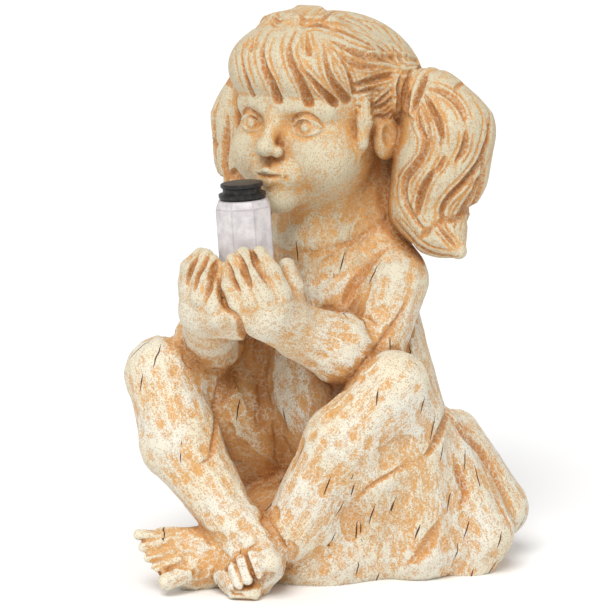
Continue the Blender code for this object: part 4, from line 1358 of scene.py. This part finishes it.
def cut_facets(points, normals, amount):
    """Planes shaved off the skin; gives the cut and an ochre share per vertex."""
    seeds = scatter(points, amount > 0.3, FACET_SPACING, 7)
    dice = np.random.default_rng(11)
    depth = 0.25 + 0.75 * dice.random(len(seeds)) ** 1.5
    ochre = (dice.random(len(seeds)) < 0.55) * (0.35 + 0.65 * dice.random(len(seeds)))
    reach = FACET_REACH * (0.7 + 0.6 * dice.random(len(seeds)))
    lines = grain_lines(points[seeds], normals[seeds])
    cut = np.zeros(len(points))
    tint = np.zeros(len(points))
    for picked, _ in clay_cells([], points):
        middle = points[picked].mean(0)
        far = ((points[seeds] - middle) ** 2).sum(1) > (CELL + FACET_REACH * 2.4) ** 2
        close = np.flatnonzero(~far)
        if not len(close):
            continue
        facing = normals[seeds[close]]
        gap = points[picked][:, None, :] - points[seeds[close]][None, :, :]
        along = (gap * lines[close]).sum(2)
        across = (gap * gap).sum(2) - along**2
        share = np.sqrt(across + (along / FACET_STRETCH) ** 2) / reach[close]
        plane = (gap * facing).sum(2) + depth[close] * (1.0 - share**2)
        plane = np.clip(plane, 0.0, 1.3) * (1.0 - smooth_step(0.72, 1.0, share))
        plane *= (normals[picked] @ facing.T) > 0.35
        best = plane.argmax(1)
        level = plane[np.arange(len(best)), best]
        cut[picked] = level
        tint[picked] = ochre[close][best] * smooth_step(0.05, 0.25, level / depth[close][best])
    return cut * amount, tint * amount


def region_distance(forms, points):
    return clay_distance(clay_cells([(0.1, forms)], points), points)


def region_share(points):
    """How much each point belongs to the carved body rather than the face, hair and hands."""
    face = region_distance(face_forms() + ear_forms(), points)
    hair = region_distance(hair_cap_forms() + fringe_forms() + crown_forms() + pigtail_forms(), points)
    hands = region_distance(hand_forms(), points)
    body = smooth_step(1.5, 6.0, face) * smooth_step(1.0, 4.0, hair)
    return body * (0.25 + 0.75 * smooth_step(0.5, 4.0, hands)), 1.0 - smooth_step(0.6, 1.6, hair)


def curvature(made, rounds):
    """Raised edges positive, dents negative, from the mesh itself."""
    edges = mesh_edges(made)
    points = mesh_points(made)
    normals = mesh_normals(made)
    bend = ((points - neighbour_mean(points, edges)) * normals).sum(1)
    return even_out(bend, made, rounds)


def sky_rays(count):
    """Directions spread over the half ball about +Z."""
    rays = []
    for k in range(count):
        height = (k + 0.5) / count
        turn = k * GOLDEN_TURN
        flat = math.sqrt(1.0 - height * height)
        rays.append(Vector((flat * math.cos(turn), flat * math.sin(turn), height)))
    return rays


def shelter(made, reach):
    """Share of near sky that other parts of the figure hide from each vertex."""
    mesh = made.data
    mesh.calc_loop_triangles()
    corners = [v.co.copy() for v in mesh.vertices]
    faces = [tuple(t.vertices) for t in mesh.loop_triangles]
    tree = BVHTree.FromPolygons(corners, faces)
    rays = sky_rays(SHELTER_RAYS)
    hidden = np.zeros(len(corners))
    for index, vertex in enumerate(mesh.vertices):
        facing = vertex.normal
        start = vertex.co + facing * (SHELTER_START * MM)
        turn = facing.to_track_quat("Z", "Y")
        total = 0.0
        for ray in rays:
            hit = tree.ray_cast(start, turn @ ray, reach * MM)
            if hit[0] is not None:
                total += 1.0 - 0.6 * hit[3] / (reach * MM)
        hidden[index] = total / len(rays)
    return hidden


def nearest_values(dense_points, sparse_points, columns):
    """Reads per-vertex values off the dense skin onto the thinned one."""
    tree = KDTree(len(dense_points))
    for index, spot in enumerate(dense_points):
        tree.insert(spot, index)
    tree.balance()
    found = np.array([tree.find(spot)[1] for spot in sparse_points])
    return [column[found] for column in columns]


def store(made, name, values):
    layer = made.data.attributes.new(name, "FLOAT", "POINT")
    layer.data.foreach_set("value", np.asarray(values, dtype=np.float32))


def even_out(values, made, rounds):
    """Blurs per-vertex values over the skin."""
    edges = mesh_edges(made)
    for _ in range(rounds):
        values = 0.5 * values + 0.5 * neighbour_mean(values[:, None], edges)[:, 0]
    return values


def cut_cavities(made):
    """Opens the pocket for the jar and cuts the underside flat."""
    for tool in (pocket_cutter(), ground_cutter()):
        boolean_cut(made, tool)
        bpy.data.objects.remove(tool, do_unlink=True)


def store_layers(made, groove, tint, body, hair):
    """Writes what the paint reads off the skin."""
    layers = {
        "groove": even_out(groove, made, 1),
        "tint": even_out(tint, made, 1),
        "body": body,
        "hair": hair,
        "edge": np.clip(curvature(made, 1) / SHARP_BEND, -1.0, 1.0),
        # Sky hidden from each vertex, wide and near, which the paint turns into painted shade
        "hollow": even_out(shelter(made, WIDE_SHELTER), made, 2),
        "nook": even_out(shelter(made, NEAR_SHELTER), made, 1),
    }
    for name, values in layers.items():
        store(made, name, values)
    flow = made.data.attributes.new("flow", "FLOAT_VECTOR", "POINT")
    flow.data.foreach_set("vector", grain_axes(mesh_points(made)).astype(np.float32).ravel())


def build_statue():
    statue = clay_object("statue", figure_clay(), SKIN_VOXEL)
    plain = mesh_points(statue)
    body, hair = region_share(plain)
    facet, tint = cut_facets(plain, mesh_normals(statue), body)
    chisel = carve(statue)
    chisel.cut = np.maximum(chisel.cut, facet)
    chisel.finish()
    dense = mesh_points(statue)
    decimate(statue, SKIN_TRIANGLES)
    cut_cavities(statue)
    columns = [np.clip(chisel.groove, 0.0, 1.0), tint, body, hair]
    store_layers(statue, *nearest_values(dense, mesh_points(statue), columns))
    statue.data.shade_smooth()
    return statue


# Materials
LAYERS = ("groove", "tint", "body", "edge", "hollow", "nook", "hair")


def plug(tree, slot, value):
    """Joins the slot to another socket or sets it; a colour is three numbers."""
    if isinstance(value, bpy.types.NodeSocket):
        tree.links.new(value, slot)
    elif slot.type == "RGBA":
        slot.default_value = (*value, 1.0)
    else:
        slot.default_value = value


def set_inputs(tree, node, **values):
    """Sets sockets by name, with an underscore for each space."""
    for name, value in values.items():
        plug(tree, node.inputs[name.replace("_", " ")], value)


def add_node(tree, kind, *values, **settings):
    """A node with its settings made and its first sockets filled in order."""
    node = tree.nodes.new(kind)
    for name, setting in settings.items():
        setattr(node, name, setting)
    for slot, value in zip(node.inputs, values):
        plug(tree, slot, value)
    return node


def math_node(tree, operation, *values, clamp=False):
    node = add_node(tree, "ShaderNodeMath", *values, operation=operation, use_clamp=clamp)
    return node.outputs[0]


def times(tree, first, second):
    return math_node(tree, "MULTIPLY", first, second)


def add_scaled(tree, start, *pairs):
    """start + each value times its weight."""
    total = start
    for value, weight in pairs:
        total = math_node(tree, "MULTIPLY_ADD", value, weight, total)
    return total


def ramp(tree, value, low, high, start=0.0, end=1.0):
    kind = "ShaderNodeMapRange"
    node = add_node(tree, kind, value, low, high, start, end, interpolation_type="SMOOTHSTEP")
    return node.outputs[0]


def mix_colour(tree, share, first, second):
    node = add_node(tree, "ShaderNodeMix", share, data_type="RGBA")
    plug(tree, node.inputs[6], first)
    plug(tree, node.inputs[7], second)
    return node.outputs[2]


def noise(tree, vector, scale, detail=3.0, roughness=0.6):
    node = tree.nodes.new("ShaderNodeTexNoise")
    set_inputs(tree, node, Vector=vector, Scale=scale, Detail=detail, Roughness=roughness)
    return node.outputs["Fac"]


def attribute(tree, name, output="Fac"):
    return add_node(tree, "ShaderNodeAttribute", attribute_name=name).outputs[output]


def vector_node(tree, operation, *values):
    node = add_node(tree, "ShaderNodeVectorMath", *values, operation=operation)
    return node.outputs["Value" if operation == "DOT_PRODUCT" else "Vector"]


def scaled_vector(tree, vector, share):
    node = add_node(tree, "ShaderNodeVectorMath", vector, operation="SCALE")
    set_inputs(tree, node, Scale=share)
    return node.outputs["Vector"]


def object_place(tree):
    return tree.nodes.new("ShaderNodeTexCoord").outputs["Object"]


def add_bump(tree, shader, height, strength, distance):
    """Small relief in the shading, with its height in millimetres."""
    node = tree.nodes.new("ShaderNodeBump")
    set_inputs(tree, node, Strength=strength, Distance=distance * MM, Height=height)
    set_inputs(tree, shader, Normal=node.outputs["Normal"])


def new_material(name):
    material = bpy.data.materials.new(name)
    material.use_nodes = True
    tree = material.node_tree
    return material, tree, tree.nodes["Principled BSDF"]


def slit_mask(tree, place, body):
    """Thin upright nicks, one here and there on the body."""
    cells = tree.nodes.new("ShaderNodeTexVoronoi")
    set_inputs(tree, cells, Vector=place, Scale=1.0 / (SLIT_CELL * MM))
    dice = add_node(tree, "ShaderNodeSeparateColor", cells.outputs["Color"])
    offset = vector_node(tree, "SUBTRACT", place, cells.outputs["Position"])
    facing = tree.nodes.new("ShaderNodeNewGeometry").outputs["Normal"]
    upright = (0.0, 0.0, 1.0)
    across = vector_node(tree, "NORMALIZE", vector_node(tree, "CROSS_PRODUCT", facing, upright))
    level = vector_node(tree, "DOT_PRODUCT", offset, across)
    rise = vector_node(tree, "DOT_PRODUCT", offset, upright)
    inward = math_node(tree, "ABSOLUTE", vector_node(tree, "DOT_PRODUCT", offset, facing))
    tilt = math_node(tree, "MULTIPLY_ADD", dice.outputs[0], 0.5, -0.08)
    aside = math_node(tree, "ABSOLUTE", math_node(tree, "MULTIPLY_ADD", rise, tilt, level))
    half = math_node(tree, "MULTIPLY_ADD", dice.outputs[1], SLIT_SPREAD * MM, SLIT_HALF * MM)
    end = math_node(tree, "DIVIDE", math_node(tree, "ABSOLUTE", rise), half)
    taper = math_node(tree, "SUBTRACT", 1.0, math_node(tree, "POWER", end, 2.0), clamp=True)
    wide = times(tree, taper, SLIT_WIDTH * MM)
    line = math_node(tree, "DIVIDE", aside, math_node(tree, "MAXIMUM", wide, 0.00001))
    mask = ramp(tree, line, 0.6, 1.1, 1.0, 0.0)
    mask = times(tree, mask, math_node(tree, "LESS_THAN", end, 0.97))
    mask = times(tree, mask, math_node(tree, "LESS_THAN", inward, SLIT_DEPTH * MM))
    return times(tree, mask, math_node(tree, "GREATER_THAN", body, 0.3))


def drawn_out(tree, place, share):
    """Coordinates squeezed along the flow, so that a pattern runs with it."""
    flow = attribute(tree, "flow", "Vector")
    along = times(tree, vector_node(tree, "DOT_PRODUCT", place, flow), -share)
    return vector_node(tree, "ADD", place, scaled_vector(tree, flow, along))


def hairlines(tree, place, scale, wander):
    """A broken net of thin lines, one where a line runs."""
    drift = tree.nodes.new("ShaderNodeTexNoise")
    set_inputs(tree, drift, Vector=place, Scale=scale * 1.7, Detail=2.0)
    shift = vector_node(tree, "SUBTRACT", drift.outputs["Color"], (0.5, 0.5, 0.5))
    moved = vector_node(tree, "ADD", place, scaled_vector(tree, shift, wander / scale))
    cells = add_node(tree, "ShaderNodeTexVoronoi", feature="DISTANCE_TO_EDGE")
    set_inputs(tree, cells, Vector=moved, Scale=scale)
    return ramp(tree, cells.outputs["Distance"], 0.03, 0.14, 1.0, 0.0)


def cast_fields(tree, place):
    """The stored layers and the patterns that the paint is worked out from."""
    at = SimpleNamespace(**{name: attribute(tree, name) for name in LAYERS})
    at.grain = noise(tree, place, 1150.0, 3.0, 0.7)
    at.fleck = noise(tree, place, 1250.0, 2.0, 0.6)
    at.brush = noise(tree, drawn_out(tree, place, 0.75), 1000.0, 3.0, 0.7)
    at.strand = noise(tree, drawn_out(tree, place, 0.9), 800.0, 3.0, 0.7)
    at.cloud = noise(tree, drawn_out(tree, place, 0.6), 190.0, 4.0, 0.65)
    at.broad = noise(tree, place, 38.0, 2.0, 0.5)
    # Painted shade, strongest where the figure hides the most sky
    at.shade = ramp(tree, at.hollow, 0.12, 0.52)
    at.groove = times(tree, at.groove, ramp(tree, at.cloud, 0.32, 0.5, 0.5, 1.0))
    at.worn_in = times(tree, at.groove, at.hair)
    # Height on the figure, which sets the painted shade toward the head
    height = add_node(tree, "ShaderNodeSeparateXYZ", place).outputs["Z"]
    at.upper = ramp(tree, height, 0.12, 0.20)
    return at


def cast_cover(tree, at):
    """How thickly the cream lies, thin in grooves and dents and thick on raised edges, and thinner in
    hollows, creases and toward the head as painted shade.
    """
    return add_scaled(
        tree,
        0.52,
        (at.body, 0.08),
        (at.groove, -0.95),
        # Creases, sheltered hollows and the top of the figure get less cream here as painted shade
        (at.nook, -0.4),
        (ramp(tree, at.hollow, 0.18, 0.36), -0.5),
        (times(tree, at.tint, ramp(tree, at.cloud, 0.4, 0.54)), -0.52),
        (at.shade, -0.55),
        (at.upper, -0.06),
        (math_node(tree, "MAXIMUM", at.edge, 0.0), 0.5),
        (math_node(tree, "MINIMUM", at.edge, 0.0), 0.5),
        (math_node(tree, "SUBTRACT", at.cloud, 0.5), 1.5),
        (math_node(tree, "SUBTRACT", at.broad, 0.5), 0.5),
    )


def cast_cream_share(tree, at, cover, floor, net):
    """Where the cream shows: a soft wash, crisp specks and a net of hairlines."""
    streak = tree.nodes.new("ShaderNodeMix")
    set_inputs(tree, streak, Factor=at.hair, A=at.brush, B=at.strand)
    half_streak = times(tree, streak.outputs["Result"], 0.5)
    speck = ramp(tree, math_node(tree, "MULTIPLY_ADD", at.grain, 0.5, half_streak), 0.40, 0.60)
    wash = ramp(tree, math_node(tree, "SUBTRACT", cover, times(tree, speck, 0.4)), 0.0, 0.45)
    crisp = ramp(tree, math_node(tree, "SUBTRACT", floor, speck), -0.1, 0.1)
    lines = times(tree, net, ramp(tree, floor, -0.7, 0.25, 0.3, 1.0))
    lines = times(tree, lines, ramp(tree, at.cloud, 0.4, 0.6, 0.1, 0.75))
    return math_node(tree, "MAXIMUM", add_scaled(tree, 0.0, (wash, 0.35), (crisp, 0.65)), lines)


def cast_ochre(tree, at, floor):
    """The base coat: deeper in grooves and at random, and deeper and browner where the form shelters it,
    which is painted shade.
    """
    groove, top_moulding, nook = (at.groove, 0.45), (at.worn_in, 0.3), (at.nook, 0.4)
    deep = add_scaled(tree, 0.0, groove, top_moulding, (at.hollow, 1.0), nook, (at.grain, 0.9))
    ochre = mix_colour(tree, ramp(tree, deep, 0.55, 1.3), OCHRE_LIGHT, OCHRE_DEEP)
    ochre = mix_colour(tree, ramp(tree, at.brush, 0.4, 0.7, 0.0, 0.4), ochre, OCHRE_PALE)
    # Painted shade: brown where the form shelters the skin, with a little in hair grooves
    shade_and_groove_brown = add_scaled(tree, 0.0, (at.hollow, 1.0), (at.worn_in, 0.14), (at.nook, 0.2))
    ochre = mix_colour(tree, ramp(tree, shade_and_groove_brown, 0.25, 0.6, 0.0, 0.9), ochre, OCHRE_BROWN)
    return mix_colour(tree, ramp(tree, floor, 0.5, 0.85, 0.0, 0.75), ochre, CREAM_ROSE)


def cast_cream(tree, at):
    """The top coat, with painted shade: darker and yellower toward the head and dimmer in the hollows.
    """
    cream = mix_colour(tree, ramp(tree, at.broad, 0.35, 0.65), CREAM_WARM, CREAM_COOL)
    cream = mix_colour(tree, times(tree, at.upper, 0.9), cream, CREAM_UPPER_SHADE)
    return mix_colour(tree, ramp(tree, at.shade, 0.2, 1.0, 0.0, 0.8), cream, CREAM_HOLLOW_SHADE)


def painted_cast():
    """Cream paint dry-brushed over ochre, darker where the brush did not reach, with painted shade in
    hollows, creases and toward the head.
    """
    material, tree, shader = new_material("painted_cast")
    place = object_place(tree)
    at = cast_fields(tree, place)
    net = hairlines(tree, place, 300.0, 0.9)
    cover = cast_cover(tree, at)
    floor = math_node(tree, "MAXIMUM", cover, 0.04)
    share = cast_cream_share(tree, at, cover, floor, net)
    colour = mix_colour(tree, share, cast_ochre(tree, at, floor), cast_cream(tree, at))
    colour = mix_colour(tree, ramp(tree, at.fleck, 0.56, 0.64, 0.0, 0.7), colour, FLECK_BROWN)
    slit = slit_mask(tree, place, at.body)
    # Painted shade: the nicks drawn near black inside each cut
    colour = mix_colour(tree, slit, colour, SLIT_DARK)
    rough = math_node(tree, "MULTIPLY_ADD", share, 0.12, 0.58)
    set_inputs(tree, shader, Base_Color=colour, Roughness=rough)
    relief = add_scaled(tree, 0.0, (share, 0.4), (at.grain, 0.35), (slit, -2.5))
    add_bump(tree, shader, relief, 0.5, 0.4)
    return material


def frosted_glass(name, dark, light):
    """Milky jar wall, a little clearer in patches."""
    material, tree, shader = new_material(name)
    haze = noise(tree, object_place(tree), 160.0, 4.0, 0.65)
    colour = mix_colour(tree, ramp(tree, haze, 0.35, 0.65), dark, light)
    rough = ramp(tree, haze, 0.3, 0.7, 0.28, 0.42)
    set_inputs(tree, shader, Base_Color=colour, Roughness=rough, Transmission_Weight=0.2, IOR=1.4)
    return material


def black_moulding(name, dark, light, rough):
    material, tree, shader = new_material(name)
    smear = noise(tree, object_place(tree), 350.0, 4.0, 0.65)
    colour = mix_colour(tree, ramp(tree, smear, 0.4, 0.75), dark, light)
    rough = ramp(tree, smear, 0.3, 0.7, rough, rough + 0.15)
    set_inputs(tree, shader, Base_Color=colour, Roughness=rough, Specular_IOR_Level=0.3)
    add_bump(tree, shader, smear, 0.15, 0.2)
    return material


def pale_floor():
    material, tree, shader = new_material("pale_floor")
    set_inputs(tree, shader, Base_Color=(FLOOR_GREY,) * 3, Roughness=0.9)
    return material


def wear(piece, material):
    piece.data.materials.clear()
    piece.data.materials.append(material)


# Jar and stopper
SHARP_ANGLE = 20


def soften(piece, width, segments, edge_slot=-1):
    step = piece.modifiers.new("Soft edges", "BEVEL")
    step.width = width * MM
    step.segments = segments
    step.material = edge_slot
    step.limit_method = "ANGLE"
    step.angle_limit = math.radians(SHARP_ANGLE)
    apply_modifiers(piece)
    piece.data.shade_smooth()
    piece.data.set_sharp_from_angle(angle=math.radians(SHARP_ANGLE))


def build_jar():
    jar = lathe("frosted_jar", jar_profile(), 8, jar_frame())
    wear(jar, frosted_glass("frosted_wall", (0.64, 0.59, 0.60), (0.82, 0.78, 0.77)))
    # A darker copy of the glass on the bevelled edges: painted shade along the facet edges
    jar.data.materials.append(frosted_glass("shaded_frosted_edge", (0.53, 0.47, 0.48), (0.68, 0.62, 0.63)))
    soften(jar, 0.45, 1, 1)
    return jar


def build_stopper():
    stopper = lathe("jar_stopper", stopper_profile(), 56, jar_frame())
    wear(stopper, black_moulding("black_stopper", (0.012, 0.011, 0.011), (0.05, 0.042, 0.038), 0.3))
    # A lighter, browner moulding on the stopper's flat top face
    top_moulding = black_moulding("browner_top", (0.03, 0.024, 0.021), (0.09, 0.07, 0.06), 0.35)
    stopper.data.materials.append(top_moulding)
    axis = jar_frame().to_3x3() @ Vector((0, 0, 1))
    top = max(face.center.dot(axis) for face in stopper.data.polygons)
    for face in stopper.data.polygons:
        if face.center.dot(axis) > top - 0.1 * MM and face.normal.dot(axis) > 0.9:
            face.material_index = 1
    soften(stopper, 0.25, 2)
    return stopper


# Stage, light and camera
def build_floor():
    bm = bmesh.new()
    bmesh.ops.create_grid(bm, x_segments=1, y_segments=1, size=FLOOR_HALF / MM)
    floor = object_from_bmesh("pale_floor", bm)
    wear(floor, pale_floor())


def build_lights():
    world = bpy.data.worlds.new("studio")
    bpy.context.scene.world = world
    world.use_nodes = True
    background = world.node_tree.nodes["Background"]
    background.inputs["Color"].default_value = (1.0, 1.0, 1.0, 1.0)
    background.inputs["Strength"].default_value = SKY_STRENGTH
    lamp = bpy.data.lights.new("key", "SUN")
    lamp.energy = KEY_STRENGTH
    lamp.angle = math.radians(KEY_SPREAD)
    holder = bpy.data.objects.new("key", lamp)
    bpy.context.scene.collection.objects.link(holder)
    spot = around(KEY_TURN, KEY_RISE, 1.0, 0.0)
    holder.location = spot
    holder.rotation_euler = (-spot).to_track_quat("-Z", "Y").to_euler()


def build_camera():
    lens = bpy.data.cameras.new("camera")
    lens.sensor_width = SENSOR
    lens.lens = LENS
    camera = bpy.data.objects.new("camera", lens)
    bpy.context.scene.collection.objects.link(camera)
    camera.location = VIEW_SPOT
    camera.rotation_euler = VIEW_TURN.to_euler()
    bpy.context.scene.camera = camera


def main():
    build_camera()
    build_lights()
    build_floor()
    statue = build_statue()
    jar = build_jar()
    stopper = build_stopper()
    wear(statue, painted_cast())
    for piece, node in ((statue, "figure"), (jar, "jar"), (stopper, "stopper")):
        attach(piece, "root")
        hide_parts(node)
    bpy.context.scene.view_settings.view_transform = "Standard"


main()
